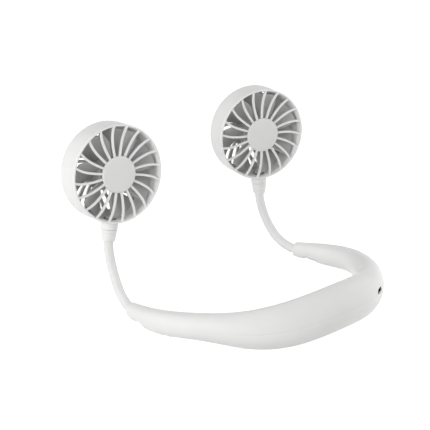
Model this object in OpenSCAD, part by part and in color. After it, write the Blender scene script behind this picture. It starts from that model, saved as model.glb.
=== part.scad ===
// A neck fan: a U-shaped band worn round the neck, with a bendable arm rising from each tip
// and a round fan head that swivels at the top of each arm. Millimetres, +Z up.
// The wearer stands inside the U and faces +Y, so the wearer's left is -X.
// The origin is on the table under the middle of the whole fan.

/* [Neck band] */
// Depth of the band's centreline, from the arm sockets back to the nape
band_depth = 115.5; // [102:0.5:132]
// Half the distance between the arm sockets
tip_half_gap = 83.7; // [75:0.1:92]
// Height of the arm sockets above the table
tip_rise = 5.8; // [5.6:0.1:7]
// How much higher the nape's centreline lies than the arm sockets
nape_rise = 13.4; // [11:0.1:15]
// Height of the band at the nape
nape_height = 33; // [29:0.5:38]
// Thickness of the band at the nape, front to back
nape_thickness = 22.4; // [21.5:0.1:27]
// Height of the band at its tips
tip_height = 11; // [10.4:0.1:12]
// Thickness of the band at its tips
tip_thickness = 10.1; // [9.4:0.1:12]
// Wall of both band shells
band_wall = 1.6; // [1.4:0.1:2]
// Gap that shows as the parting line between the shells
parting_gap = 0.2; // [0.1:0.05:0.3]
// How far below the widest line of the band the shells part, in degrees round the section
parting_angle = 5; // [2:1:8]
// Rounding of the blunt end of each tip
tip_round = 1; // [0.6:0.1:1.1]
// Depth of the finger hollow in the underside behind each tip
grip_depth = 2.3; // [1.5:0.1:2.6]

/* [Arms] */
// Outer diameter of the silicone sleeve
sleeve_d = 7; // [6.6:0.1:7.4]
// Wall of the silicone sleeve
sleeve_wall = 1.2; // [1:0.1:1.3]
// Outer diameter of the steel gooseneck core
core_d = 4.2; // [3.8:0.1:4.4]
// Bore of the steel core, where the motor lead runs
core_bore = 2.2; // [1.8:0.1:2.4]
// Turn of each arm inward, seen from above, in degrees
arm_turn_angle = 12.3; // [6:0.1:18]
// Rise of the arm where it leaves the band, in degrees
arm_rise_angle = 3.4; // [1:0.2:8]
// Bend radius of the arm's lower curve
arm_low_r = 28.5; // [26:0.5:36]
// Rise of the arm where its lower curve ends, in degrees
arm_mid_rise_angle = 49; // [44:1:58]
// Bend radius of the arm's upper curve
arm_high_r = 58; // [50:1:66]
// Rise of the arm where its upper curve ends, in degrees
arm_high_rise_angle = 73; // [68:1:80]
// Bend radius of the short curve under the collar
neck_bend_r = 37.5; // [34:0.5:50]
// Way in which the left neck leans, in degrees round the arm
left_lean_way_angle = 31.6; // [10:0.2:60]
// Lean of the left neck, in degrees
left_lean_angle = 14.3; // [8:0.1:18]
// Way in which the right neck leans, in degrees round the arm
right_lean_way_angle = -6.6; // [-40:0.2:20]
// Lean of the right neck, in degrees
right_lean_angle = 14.6; // [8:0.1:18]

/* [Heads] */
// Outer diameter of a fan head
head_d = 70; // [64:0.5:78]
// Depth of a fan head, front rim to back
head_depth = 24; // [22:0.5:28]
// Depth of the front rim's plane in front of the neck
rim_forward = 9.3; // [8.6:0.1:10.5]
// Wall of the rear housing
head_wall = 1.8; // [1.6:0.1:2.2]
// Height of the head's centre above the bottom of the collar
neck_length = 49; // [48:0.5:56]
// Swivel of the left head, in degrees
left_swivel_angle = 3.3; // [-90:0.1:90]
// Swivel of the right head, in degrees
right_swivel_angle = -31; // [-90:0.1:90]
// Rounding of the housing's rear edge
head_round = 6.5; // [4:0.5:7]
// Number of curved ribs in the front grille
rib_count = 20; // [14:1:22]
// Width of a grille rib
rib_w = 1.7; // [1.4:0.1:2]
// Depth of a grille rib
rib_t = 1.8; // [1.4:0.1:2.2]
// How far a rib turns on its way out to the rim, in degrees
rib_sweep_angle = 6.5; // [2:0.5:12]
// Diameter of the hub cap
hub_cap_d = 25.9; // [24:0.1:28]
// How far the hub cap stands in front of the rim
hub_proud = 1.5; // [0.8:0.1:2]
// Number of slots in the back of the housing
rear_slots = 24; // [16:1:30]
// Number of impeller blades
blade_count = 7; // [5:1:9]
// Gap between the blade tips and the housing
blade_clearance = 2.2; // [1.9:0.1:3]

/* [Collar and swivel] */
// Diameter of the collar at the bottom
collar_low_d = 9.6; // [9.2:0.1:10.4]
// Diameter of the collar at the top
collar_top_d = 11.6; // [11:0.1:12.4]
// Height of the collar
collar_h = 8.5; // [8:0.1:9]
// Diameter of the spigot that the head swivels on
spigot_d = 6; // [5.6:0.1:6.4]
// Radial running clearance of the spigot
spigot_clearance = 0.06; // [0.03:0.01:0.1]

/* [Battery, board and buttons] */
// Diameter of the lithium cell
cell_d = 14; // [13:0.1:14.4]
// Length of the lithium cell
cell_length = 48.5; // [40:0.5:50]
// Width of the charging socket
socket_w = 9; // [8:0.1:10]
// Height of the charging socket
socket_h = 3.2; // [2.8:0.1:3.6]
// Length of a power button
button_length = 9; // [7:0.5:10]
// Width of a power button
button_w = 3.6; // [3.2:0.1:4]
// Travel of a power button
button_travel = 0.5; // [0.3:0.1:0.5]
// Shank diameter of the shell screws
screw_d = 2; // [1.6:0.1:2.2]

/* [Hidden] */
$fn = 72;

shell_white = "whitesmoke";
rubber_white = "gainsboro";
hub_grey = "lightgrey";
steel = "silver";

left = -1;
right = 1;
cut = 0.5; // overrun of every cut past the face that it opens
overlap = 0.5; // how far two joined forms of one piece run into each other

// Place of the band's middle plane and of the arm sockets, so that the whole fan, whose right head
// stands further out than the left one, is centred on the origin
middle_share = -0.0258;
tip_forward_share = 0.3044;
middle_x = tip_half_gap * middle_share;
tip_forward = band_depth * tip_forward_share;

// Centreline of the right half of the band, from the nape to the tip, as the handles of one curve.
// x is a share of tip_half_gap, and y a share of band_depth.
plan_x_shares = [0, 0.541, 0.916, 0.845, 1.178, 1];
plan_y_shares = [1, 1, 0.7885, 0.575, 0.557, 0];
// Height of the centreline above the sockets, as shares of nape_rise
rise_shares = [1, 1, -0.297, 1.468, 0.155, 0];
// Half height and half thickness, as shares of the way from the tip's size to the nape's
height_shares = [1, 1, 1.119, -0.5, 0.84, 0];
thickness_shares = [1, 1, 0.879, 0.199, 0.833, 0];

// Hollow for the finger in the underside of each limb, behind its tip
grip_share = 0.948;
grip_reach_share = 0.037;

// Rings along the band: long steps, close ones through the finger hollow, then those that round
// the tip
long_steps = 21;
close_steps = 11;
close_from_share = 0.868;
round_steps = 4;
arc_steps = 14;
inner_steps = 10;
// Where the hollow of the shells ends and the solid tip starts, as a step count from the nape
hollow_steps = long_steps + 8;

function curve(c, u) = let (v = 1 - u)
    v ^ 5 * c[0] + 5 * v ^ 4 * u * c[1] + 10 * v ^ 3 * u ^ 2 * c[2]
    + 10 * v ^ 2 * u ^ 3 * c[3] + 5 * v * u ^ 4 * c[4] + u ^ 5 * c[5];
function curve_rate(c, u) = let (v = 1 - u, d = [for (i = [0:4]) 5 * (c[i + 1] - c[i])])
    v ^ 4 * d[0] + 4 * v ^ 3 * u * d[1] + 6 * v ^ 2 * u ^ 2 * d[2]
    + 4 * v * u ^ 3 * d[3] + u ^ 4 * d[4];

// t runs from -1 at the left tip through 0 at the nape to 1 at the right tip
function side_of(t) = t < 0 ? left : right;
function grip_lift(t) = let (way = min(abs(abs(t) - grip_share) / grip_reach_share, 1))
    grip_depth * (1 + cos(180 * way)) / 2;
function band_point(t) = [middle_x + side_of(t) * tip_half_gap * curve(plan_x_shares, abs(t)),
    tip_forward - band_depth * curve(plan_y_shares, abs(t)),
    tip_rise + nape_rise * curve(rise_shares, abs(t)) + grip_lift(t) / 2];
function band_heading(t) = [tip_half_gap * curve_rate(plan_x_shares, abs(t)),
    -side_of(t) * band_depth * curve_rate(plan_y_shares, abs(t))];
function band_outward(t) = let (d = band_heading(t)) [d[1], -d[0]] / norm(d);
function half_height(t) = tip_height / 2
    + (nape_height - tip_height) / 2 * curve(height_shares, abs(t)) - grip_lift(t) / 2;
function half_thickness(t) = tip_thickness / 2
    + (nape_thickness - tip_thickness) / 2 * curve(thickness_shares, abs(t));

// Share of the curve that the rounding of a tip takes up
tip_share = tip_round / norm(band_heading(1));
half_stations = concat(
    [for (i = [0:long_steps - 1]) [close_from_share * i / long_steps, 0]],
    [for (i = [0:close_steps - 1])
        [close_from_share + (1 - tip_share - close_from_share) * i / close_steps, 0]],
    [for (k = [0:round_steps]) let (a = 90 * k / round_steps)
        [1 - tip_share + tip_share * sin(a), tip_round * (1 - cos(a))]]);
last_station = len(half_stations) - 1;
stations = concat(
    [for (i = [last_station:-1:1]) [-half_stations[i][0], half_stations[i][1]]], half_stations);

// A point of the section at station t: off is how far inside the band's outer skin it lies, and
// angle runs from the outward side over the top
function section_point(t, off, angle) = let (
        p = band_point(t), n = band_outward(t),
        a = (half_thickness(t) - off) * cos(angle), b = (half_height(t) - off) * sin(angle))
    [p[0] + n[0] * a, p[1] + n[1] * a, p[2] + b];
// Height of the parting line under the centreline
function parting_drop(t, off) = (half_height(t) - off) * sin(parting_angle);
function band_edge_angle(t, off, inset, gap) =
    asin((parting_drop(t, off) + gap) / (half_height(t) - off - inset));

// One shell of the band. gap lowers the parting face. The section's arc starts at the outward
// side for the upper shell, and at the inward side for the lower one.
module band_skin(is_upper, gap) {
    last = len(stations) - 1;
    first_hollow = last_station - hollow_steps;
    last_hollow = last_station + hollow_steps;
    stride = arc_steps + inner_steps + 2;
    function arc_angle(e, k, steps) = is_upper
        ? -e + (180 + 2 * e) * k / steps
        : 180 + e + (180 - 2 * e) * k / steps;
    points = [for (s = stations) each let (
            t = s[0], off = s[1],
            e = band_edge_angle(t, off, 0, gap),
            f = band_edge_angle(t, off, band_wall, gap)) concat(
        [for (k = [0:arc_steps]) section_point(t, off, arc_angle(e, k, arc_steps))],
        [for (k = [0:inner_steps])
            section_point(t, off + band_wall, arc_angle(f, k, inner_steps))])];
    function o(r, k) = r * stride + k;
    function i(r, k) = r * stride + arc_steps + 1 + k;
    function quad(a, b, c, d) = [[a, b, c], [a, c, d]];
    faces = concat(
        [for (r = [0:last - 1]) for (k = [0:arc_steps - 1])
            each quad(o(r, k), o(r, k + 1), o(r + 1, k + 1), o(r + 1, k))],
        [for (r = [first_hollow:last_hollow - 1]) for (k = [0:inner_steps - 1])
            each quad(i(r, k), i(r + 1, k), i(r + 1, k + 1), i(r, k + 1))],
        [for (r = [first_hollow:last_hollow - 1]) each concat(
            quad(o(r, 0), o(r + 1, 0), i(r + 1, 0), i(r, 0)),
            quad(o(r, arc_steps), i(r, inner_steps), i(r + 1, inner_steps), o(r + 1, arc_steps)))],
        [for (r = [0:last - 1]) if (r < first_hollow - 1 || r > last_hollow)
            each quad(o(r, 0), o(r + 1, 0), o(r + 1, arc_steps), o(r, arc_steps))],
        let (r = first_hollow, p = o(r - 1, 0)) [[p, o(r, 0), i(r, 0)],
            [p, i(r, 0), i(r, inner_steps)], [p, i(r, inner_steps), o(r, arc_steps)],
            [p, o(r, arc_steps), o(r - 1, arc_steps)]],
        let (r = last_hollow, p = o(r + 1, 0)) [[p, o(r + 1, arc_steps), o(r, arc_steps)],
            [p, o(r, arc_steps), i(r, inner_steps)], [p, i(r, inner_steps), i(r, 0)],
            [p, i(r, 0), o(r, 0)]],
        [[for (k = [arc_steps:-1:0]) o(0, k)], [for (k = [0:arc_steps]) o(last, k)],
            [for (k = [0:inner_steps]) i(first_hollow, k)],
            [for (k = [inner_steps:-1:0]) i(last_hollow, k)]]);
    polyhedron(points = points, faces = faces, convexity = 8);
}

// Section frame at station t: +X along the band towards the right tip, -Y outward, +Z up
module at_section(t) {
    d = band_heading(t);
    translate(band_point(t)) rotate([0, 0, atan2(d[1], d[0])]) children();
}
// A flat shape drawn across the band: its x runs inward and its y runs up
module across(thickness) {
    rotate([90, 0, 90]) linear_extrude(height = thickness, center = true) children();
}
// Slot-shaped block with round ends, long along X and standing on z = 0
module slot_block(length, width, height) {
    half = (length - width) / 2;
    translate([-half, -width / 2, 0]) cube([2 * half, width, height]);
    for (x = [-half, half]) translate([x, 0, 0]) cylinder(d = width, h = height);
}
module ring(outer_d, inner_d, height) {
    difference() {
        cylinder(d = outer_d, h = height);
        translate([0, 0, -cut]) cylinder(d = inner_d, h = height + 2 * cut);
    }
}

// Arm frames, each a place and three axes. At the root the third axis leaves the band along the
// arm, and the first one points to the right of the arm's plane.
function turn_x(a) = [[1, 0, 0], [0, cos(a), -sin(a)], [0, sin(a), cos(a)]];
function turn_z(a) = [[cos(a), -sin(a), 0], [sin(a), cos(a), 0], [0, 0, 1]];
function moved(frame, way) = [frame[0] + frame[1] * way, frame[1]];
function turned(frame, turn) = [frame[0], frame[1] * turn];
function along_arc(frame, radius, angle) =
    turned(moved(frame, radius * [0, cos(angle) - 1, sin(angle)]), turn_x(angle));
module at(frame) {
    p = frame[0];
    m = frame[1];
    multmatrix([[m[0][0], m[0][1], m[0][2], p[0]], [m[1][0], m[1][1], m[1][2], p[1]],
        [m[2][0], m[2][1], m[2][2], p[2]]]) children();
}
arm_low_angle = arm_mid_rise_angle - arm_rise_angle;
arm_high_angle = arm_high_rise_angle - arm_mid_rise_angle;
function lean_way(side) = side < 0 ? left_lean_way_angle : right_lean_way_angle;
function lean(side) = side < 0 ? left_lean_angle : right_lean_angle;
function swivel(side) = side < 0 ? left_swivel_angle : right_swivel_angle;
function root_frame(side) =
    [band_point(side), turn_z(side * arm_turn_angle) * turn_x(arm_rise_angle - 90)];
function high_frame(side) = along_arc(root_frame(side), arm_low_r, arm_low_angle);
function bend_frame(side) =
    turned(along_arc(high_frame(side), arm_high_r, arm_high_angle), turn_z(lean_way(side)));
// Neck frame: the third axis runs up the neck from the bottom of the collar
function neck_frame(side) =
    turned(along_arc(bend_frame(side), neck_bend_r, lean(side)), turn_z(-lean_way(side)));
// Head frame: origin on the neck's axis, second axis up the neck and third to the front
module at_head(side) {
    at(neck_frame(side)) translate([0, 0, neck_length]) rotate([0, 0, swivel(side)])
        rotate([90, 0, 0]) children();
}
// Round bar along an arc of a frame, between two angles
module arc_bar(radius, from, to, diameter) {
    translate([0, -radius, 0]) rotate([from, 0, 0]) rotate([90, 0, 90])
        rotate_extrude(angle = to - from) translate([radius, 0]) circle(d = diameter, $fn = 48);
}

// Where the core bends: a low joint, a sideways joint and a high joint
bend_shares = [0.125, 0.625, 0.45]; // of the lower curve twice, then of the upper one
low_bend_angle = arm_low_angle * bend_shares[0];
side_bend_angle = arm_low_angle * bend_shares[1];
high_bend_angle = arm_high_angle * bend_shares[2];
core_gap = 0.62; // from a link's end to the joint's centre
core_step = 0.2; // difference in diameter of two stretches of the core that meet
core_lap = 0.5; // how far one stretch reaches into the next
core_top_share = 0.7; // of the collar that the core reaches
core_top = collar_h * core_top_share;
function arc_share(length, radius) = length / radius * 180 / PI;
low_end = arc_share(core_gap, arm_low_r);
high_end = arc_share(core_gap, arm_high_r);
high_lap = arc_share(core_lap, arm_high_r);
neck_lap = arc_share(core_lap, neck_bend_r);

sleeve_in = 4; // how far the sleeve reaches into the tip, and into the collar
sleeve_fit = 0.15;
anchor_d = 5.4;
anchor_h = 6;
anchor_behind = 3; // how far the anchor's bore runs on, into the hollow
anchor_flange_d = 6.8;
anchor_flange_h = 1.4;
anchor_fit = 0.1;

module arm_anchor(side) {
    tip_z = arm_low_r * sin(low_bend_angle) - core_gap;
    color(steel) at(root_frame(side)) translate([0, 0, -sleeve_in - anchor_h]) difference() {
        union() {
            cylinder(d = anchor_flange_d, h = anchor_flange_h);
            cylinder(d = anchor_d, h = anchor_h - anchor_fit);
            cylinder(d = core_d, h = sleeve_in + anchor_h + tip_z);
        }
        translate([0, 0, -cut]) cylinder(d = core_bore, h = sleeve_in + anchor_h + tip_z + 2 * cut);
    }
}
module core_lower(side) {
    from = low_bend_angle + low_end;
    to = side_bend_angle - low_end;
    color(steel) at(root_frame(side)) difference() {
        arc_bar(arm_low_r, from, to, core_d);
        arc_bar(arm_low_r, from - low_end, to + low_end, core_bore);
    }
}
module core_middle(side) {
    from = side_bend_angle + low_end;
    to = high_bend_angle - high_end;
    color(steel) difference() {
        union() {
            at(root_frame(side)) arc_bar(arm_low_r, from, arm_low_angle, core_d);
            at(high_frame(side)) arc_bar(arm_high_r, -high_lap, to, core_d - core_step);
        }
        at(root_frame(side)) arc_bar(arm_low_r, from - low_end, arm_low_angle, core_bore);
        at(high_frame(side)) arc_bar(arm_high_r, -high_lap, to + high_end, core_bore - core_step);
    }
}
module core_upper(side) {
    from = high_bend_angle + high_end;
    color(steel) difference() {
        union() {
            at(high_frame(side)) arc_bar(arm_high_r, from, arm_high_angle, core_d);
            at(bend_frame(side)) arc_bar(neck_bend_r, -neck_lap, lean(side), core_d - core_step);
            at(neck_frame(side)) translate([0, 0, -core_lap])
                cylinder(d = core_d, h = core_top + core_lap);
        }
        at(high_frame(side)) arc_bar(arm_high_r, from - high_end, arm_high_angle, core_bore);
        at(bend_frame(side)) arc_bar(neck_bend_r, -neck_lap, lean(side), core_bore - core_step);
        at(neck_frame(side)) translate([0, 0, -core_lap])
            cylinder(d = core_bore, h = core_top + core_lap + cut);
    }
}

// The sleeve is one smooth tube: rings of points along the whole arm
sleeve_sides = 28;
low_rings = 12;
high_rings = 6;
neck_rings = 3;
function sleeve_frames(side) = concat([moved(root_frame(side), [0, 0, -sleeve_in])],
    [for (k = [0:low_rings]) along_arc(root_frame(side), arm_low_r, arm_low_angle * k / low_rings)],
    [for (k = [1:high_rings])
        along_arc(high_frame(side), arm_high_r, arm_high_angle * k / high_rings)],
    [for (k = [1:neck_rings]) turned(along_arc(bend_frame(side), neck_bend_r,
        lean(side) * k / neck_rings), turn_z(-lean_way(side)))],
    [moved(neck_frame(side), [0, 0, sleeve_in - anchor_fit])]);
module arm_sleeve(side) {
    n = sleeve_sides;
    frames = sleeve_frames(side);
    last = len(frames) - 1;
    radii = [sleeve_d / 2 - sleeve_wall, sleeve_d / 2];
    points = [for (frame = frames) for (r = radii) for (k = [0:n - 1])
        moved(frame, r * [cos(360 * k / n), sin(360 * k / n), 0])[0]];
    function p(row, outer, k) = (2 * row + outer) * n + k % n;
    function quad(a, b, c, d) = [[a, b, c], [a, c, d]];
    faces = concat(
        [for (row = [0:last - 1]) for (k = [0:n - 1]) each concat(
            quad(p(row, 1, k), p(row + 1, 1, k), p(row + 1, 1, k + 1), p(row, 1, k + 1)),
            quad(p(row, 0, k), p(row, 0, k + 1), p(row + 1, 0, k + 1), p(row + 1, 0, k)))],
        [for (k = [0:n - 1]) each concat(
            quad(p(0, 0, k), p(0, 1, k), p(0, 1, k + 1), p(0, 0, k + 1)),
            quad(p(last, 0, k), p(last, 0, k + 1), p(last, 1, k + 1), p(last, 1, k)))]);
    color(rubber_white) polyhedron(points = points, faces = faces, convexity = 6);
}

// Collar and swivel
collar_groove = 0.3; // depth and width of the fine line round the collar
collar_line_drop = 2; // from the top of the collar to its fine line
collar_edge = 0.5; // chamfer at the bottom of the collar
neck_gap = 0.2; // between the collar and the head's neck stub
stub_d = 12.2; // neck stub under the housing
stub_in = 1.5; // how far the stub runs into the wall of the housing
head_r = head_d / 2;
head_in_r = head_r - head_wall;
clip_t = 0.8; // thickness of the swivel clip
clip_gap = 0.05;
clip_groove = 0.5; // depth of the clip's groove in the spigot
clip_d = 8.8;
clip_mouth = 3.6; // opening of the clip
clip_room = 0.5; // free width round the clip
clip_dip = 0.1; // the clip's flat under the round wall
// Height of the flat inside the housing that the clip bears on
clip_seat = neck_length - head_in_r - clip_dip;
spigot_top = clip_seat + 2 * clip_t;

module collar(side) {
    low_r = collar_low_d / 2;
    top_r = collar_top_d / 2;
    line_h = collar_h - collar_line_drop;
    line_r = low_r + (top_r - low_r) * line_h / collar_h;
    color(shell_white) at(neck_frame(side)) difference() {
        union() {
            rotate_extrude() polygon([[0, 0], [low_r - collar_edge, 0], [low_r, collar_edge],
                [line_r, line_h - collar_groove], [line_r - collar_groove, line_h - collar_groove],
                [line_r - collar_groove, line_h], [line_r + collar_groove / 2, line_h],
                [top_r, collar_h], [0, collar_h]]);
            cylinder(d = spigot_d, h = spigot_top);
        }
        translate([0, 0, -cut]) cylinder(d = sleeve_d + 2 * sleeve_fit, h = sleeve_in + cut);
        cylinder(d = core_d + 2 * anchor_fit, h = core_top + anchor_fit);
        cylinder(d = core_bore + 2 * anchor_fit, h = spigot_top + cut);
        translate([0, 0, clip_seat]) difference() {
            cylinder(d = spigot_d + cut, h = clip_t + 2 * clip_gap);
            translate([0, 0, -cut]) cylinder(d = spigot_d - 2 * clip_groove, h = clip_t + 2 * cut);
        }
    }
}
module swivel_clip(side) {
    color(steel) at(neck_frame(side)) translate([0, 0, clip_seat + clip_gap]) difference() {
        cylinder(d = clip_d, h = clip_t);
        translate([0, 0, -cut])
            cylinder(d = spigot_d - 2 * clip_groove + 2 * clip_gap, h = clip_t + 2 * cut);
        translate([0, -clip_mouth / 2, -cut]) cube([clip_d, clip_mouth, clip_t + 2 * cut]);
    }
}

// Rear housing, drawn from the neck's plane: +Z is the front
back_z = rim_forward - head_depth;
rim_ring_h = 2.4; // depth of the front grille's rim
ring_gap = 0.1;
drum_front = rim_forward - rim_ring_h - ring_gap;
motor_d = 20;
motor_h = 12;
motor_fit = 0.1;
socket_wall = 1.2; // motor socket inside the housing
motor_socket_h = 3;
motor_back = back_z + head_wall;
rear_disc_d = 30;
rear_rim = 4.6; // solid rim outside the rear slots
rear_slot_share = 0.58; // part of the pitch that is open
rear_sweep_angle = 16; // turn of a rear slot on its way out, in degrees
motor_screw_r = 6;
motor_screw_d = 2;
motor_screw_head_d = 3.6;
motor_screw_head_h = 1;
motor_screw_depth = 1.5;
motor_end_t = 2; // end plate that the screws go into
motor_can_t = 0.9;
bearing_d = 6;
bearing_h = 1.5;
rotor_d = 12;
rotor_h = 5.5;
rotor_lift = 1; // above the end plate
outline_steps = 6;

// Outline of a rib or slot that sweeps clockwise between two radii, w_in and w_out wide
function swept_rib(r_in, r_out, w_in, w_out, start, sweep, power) = let (
        side_points = function (way) [for (k = [0:outline_steps]) let (
            s = k / outline_steps, r = r_in + (r_out - r_in) * s,
            half = (w_in + (w_out - w_in) * s) / 2 / r * 180 / PI,
            a = start - sweep * s ^ power + way * half) r * [cos(a), sin(a)]],
        one = side_points(-1), other = side_points(1))
    concat(one, [for (k = [outline_steps:-1:0]) other[k]]);

module housing(side) {
    slot_in = rear_disc_d / 2;
    slot_out = head_r - rear_rim;
    pitch = 360 / rear_slots;
    slot_angle = pitch * rear_slot_share * PI / 180;
    corner = [for (k = [0:outline_steps]) let (a = -90 + 90 * k / outline_steps)
        [head_r - head_round + head_round * cos(a), back_z + head_round + head_round * sin(a)]];
    in_round = head_round - head_wall;
    in_corner = [for (k = [outline_steps:-1:0]) let (a = -90 + 90 * k / outline_steps)
        [head_r - head_round + in_round * cos(a), back_z + head_round + in_round * sin(a)]];
    color(shell_white) at_head(side) difference() {
        union() {
            rotate_extrude($fn = 96) polygon(concat([[0, back_z]], corner,
                [[head_r, drum_front], [head_in_r, drum_front]], in_corner,
                [[0, back_z + head_wall]]));
            translate([0, 0, motor_back - overlap])
                ring(motor_d + 2 * (motor_fit + socket_wall), motor_d + 2 * motor_fit,
                    motor_socket_h + overlap);
            translate([0, -head_r + stub_in, 0]) rotate([90, 0, 0])
                cylinder(d = stub_d, h = neck_length - head_r + stub_in - collar_h - neck_gap);
        }
        for (k = [0:rear_slots - 1]) rotate([0, 0, k * pitch])
            translate([0, 0, back_z - cut]) linear_extrude(height = head_wall + 2 * cut)
                polygon(swept_rib(slot_in, slot_out, slot_in * slot_angle,
                    slot_out * slot_angle, 0, -rear_sweep_angle, 1));
        translate([0, -head_in_r + clip_d / 2, 0]) rotate([90, 0, 0])
            cylinder(d = spigot_d + 2 * spigot_clearance, h = neck_length);
        translate([0, clip_seat - neck_length + clip_d / 2, 0]) rotate([90, 0, 0])
            cylinder(d = clip_d + 2 * clip_room, h = clip_d / 2);
        for (x = [-motor_screw_r, motor_screw_r]) translate([x, 0, back_z - cut]) {
            cylinder(d = motor_screw_d + 2 * motor_fit, h = head_wall + 2 * cut);
            cylinder(d = motor_screw_head_d + 2 * motor_fit, h = motor_screw_head_h + cut);
        }
    }
}
module motor(side) {
    back = motor_back + motor_fit;
    color(steel) at_head(side) difference() {
        union() {
            translate([0, 0, back]) cylinder(d = motor_d, h = motor_h);
            translate([0, 0, back + motor_h]) cylinder(d = bearing_d, h = bearing_h);
        }
        translate([0, 0, back + motor_end_t])
            cylinder(d = motor_d - 2 * motor_can_t, h = motor_h - motor_end_t - motor_can_t);
        translate([0, 0, back + motor_end_t + cut])
            cylinder(d = shaft_d + 2 * shaft_clearance, h = motor_h + bearing_h);
        for (x = [-motor_screw_r, motor_screw_r]) translate([x, 0, back - cut])
            cylinder(d = motor_screw_d + motor_fit, h = motor_screw_depth + motor_fit + cut);
    }
}
module motor_rotor(side) {
    color(steel) at_head(side)
        translate([0, 0, motor_back + motor_fit + motor_end_t + rotor_lift])
            ring(rotor_d, shaft_d + 2 * shaft_clearance, rotor_h);
}
module motor_screws(side) {
    color(steel) at_head(side) for (x = [-motor_screw_r, motor_screw_r])
        translate([x, 0, back_z + motor_fit]) {
            difference() {
                cylinder(d = motor_screw_head_d, h = motor_screw_head_h - motor_fit);
                translate([0, 0, -cut]) cylinder(d = motor_screw_d / 2, h = 2 * cut, $fn = 6);
            }
            cylinder(d = motor_screw_d, h = head_wall + motor_screw_depth - motor_fit);
        }
}

// Impeller: a cup over the motor with curved blades
shaft_d = 2;
shaft_clearance = 0.05;
cup_in_d = 22;
cup_wall = 1.4;
cup_socket_gap = 0.84; // from the motor socket to the cup
cup_back = motor_back + motor_socket_h + cup_socket_gap;
cup_set_back = 5.8; // from the rim's plane to the front of the cup
cup_front = rim_forward - cup_set_back;
cup_roof = 1.8;
shaft_short = 0.7; // from the front of the cup to the end of the shaft
cup_boss_d = 5;
cup_boss_h = 0.8;
blade_t = 1.1;
blade_front_shares = [0.42, 0.7]; // at the hub and at the tip, as shares of rim_forward
blade_back_shares = [0.56, 0.46]; // behind the neck's plane, as shares of the depth back there
blade_span_angle = 46; // turn of a blade from front to back at the hub, in degrees
blade_tip_span_angle = 37; // the same at the tip
blade_lead_angle = 12; // how far the tip runs ahead of the hub, in degrees
blade_rows = 5;
blade_cols = 4;
blade_edge_shares = [0.35, 0.65]; // thickness at the edges, and what the middle adds
blade_bow_share = 0.25; // how far a blade's turn bows, as a share of the turn
blade_tip_r = head_in_r - blade_clearance;
shaft_back = motor_back + motor_fit + motor_end_t + rotor_lift / 2;

function blade_point(row, col, skin) = let (
        s = row / blade_rows, c = col / blade_cols,
        hub_r = (cup_in_d + cup_wall) / 2,
        r = hub_r + (blade_tip_r - hub_r) * s,
        front = rim_forward * (blade_front_shares[0] * (1 - s) + blade_front_shares[1] * s),
        back = back_z * (blade_back_shares[0] * (1 - s) + blade_back_shares[1] * s),
        span = blade_span_angle * (1 - s) + blade_tip_span_angle * s,
        a = blade_lead_angle * s * s + span * (c + blade_bow_share * c * (1 - c)),
        pitch = atan2(front - back, span * PI / 180 * r),
        edge = blade_edge_shares[0] + blade_edge_shares[1] * sin(18 + 144 * c),
        off = skin * blade_t / 2 * edge,
        turn = off * sin(pitch) / r * 180 / PI)
    [r * cos(a + turn), r * sin(a + turn), front + (back - front) * c + off * cos(pitch)];
module blade() {
    cols = blade_cols + 1;
    count = (blade_rows + 1) * cols;
    function p(row, col, skin) = skin * count + row * cols + col;
    points = [for (skin = [0, 1]) for (row = [0:blade_rows]) for (col = [0:blade_cols])
        blade_point(row, col, 2 * skin - 1)];
    function quad(a, b, c, d) = [[a, b, c], [a, c, d]];
    faces = concat(
        [for (row = [0:blade_rows - 1]) for (col = [0:blade_cols - 1]) each concat(
            quad(p(row, col, 0), p(row + 1, col, 0), p(row + 1, col + 1, 0), p(row, col + 1, 0)),
            quad(p(row, col, 1), p(row, col + 1, 1), p(row + 1, col + 1, 1), p(row + 1, col, 1)))],
        [for (row = [0:blade_rows - 1]) each concat(
            quad(p(row, 0, 0), p(row, 0, 1), p(row + 1, 0, 1), p(row + 1, 0, 0)),
            quad(p(row, blade_cols, 0), p(row + 1, blade_cols, 0), p(row + 1, blade_cols, 1),
                p(row, blade_cols, 1)))],
        [for (col = [0:blade_cols - 1]) each concat(
            quad(p(0, col, 0), p(0, col + 1, 0), p(0, col + 1, 1), p(0, col, 1)),
            quad(p(blade_rows, col, 0), p(blade_rows, col, 1), p(blade_rows, col + 1, 1),
                p(blade_rows, col + 1, 0)))]);
    polyhedron(points = points, faces = faces, convexity = 4);
}
module impeller(side) {
    cup_r = cup_in_d / 2 + cup_wall;
    color(shell_white) at_head(side) difference() {
        union() {
            rotate_extrude() polygon([[0, cup_front], [0, cup_front - cup_roof],
                [cup_in_d / 2, cup_front - cup_roof], [cup_in_d / 2, cup_back],
                [cup_r, cup_back], [cup_r, cup_front - cup_wall], [cup_r - cup_wall, cup_front]]);
            translate([0, 0, cup_front - cup_roof - cup_boss_h])
                cylinder(d = cup_boss_d, h = cup_boss_h + overlap);
            for (k = [0:blade_count - 1]) rotate([0, 0, k * 360 / blade_count]) blade();
        }
        translate([0, 0, cup_front - cup_roof - cup_boss_h - cut])
            cylinder(d = shaft_d + shaft_clearance, h = cup_roof + cup_boss_h);
    }
}
module motor_shaft(side) {
    color(steel) at_head(side) translate([0, 0, shaft_back])
        cylinder(d = shaft_d, h = cup_front - shaft_short - shaft_back);
}

// Front grille
grille_inset = 0.3; // of the ribs behind the rim's plane
grille_front = rim_forward - grille_inset;
hub_cap_over = 0.8; // how far the cap covers the ribs' roots
grille_hub_r = hub_cap_d / 2 - hub_cap_over;
rim_w = 1.8; // width of the rim ring
rim_edge = 0.7; // rounding of its outer front edge
skirt_t = 1;
skirt_h = 2;
rib_start_angle = 102.5; // place of one rib's root, in degrees round the head
rib_power = 2.7; // how late the rib turns
peg_d = 5;
peg_h = 1.6;
peg_fit = 0.1;
cap_edge = 0.6; // rounding of the hub cap's edge

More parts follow.
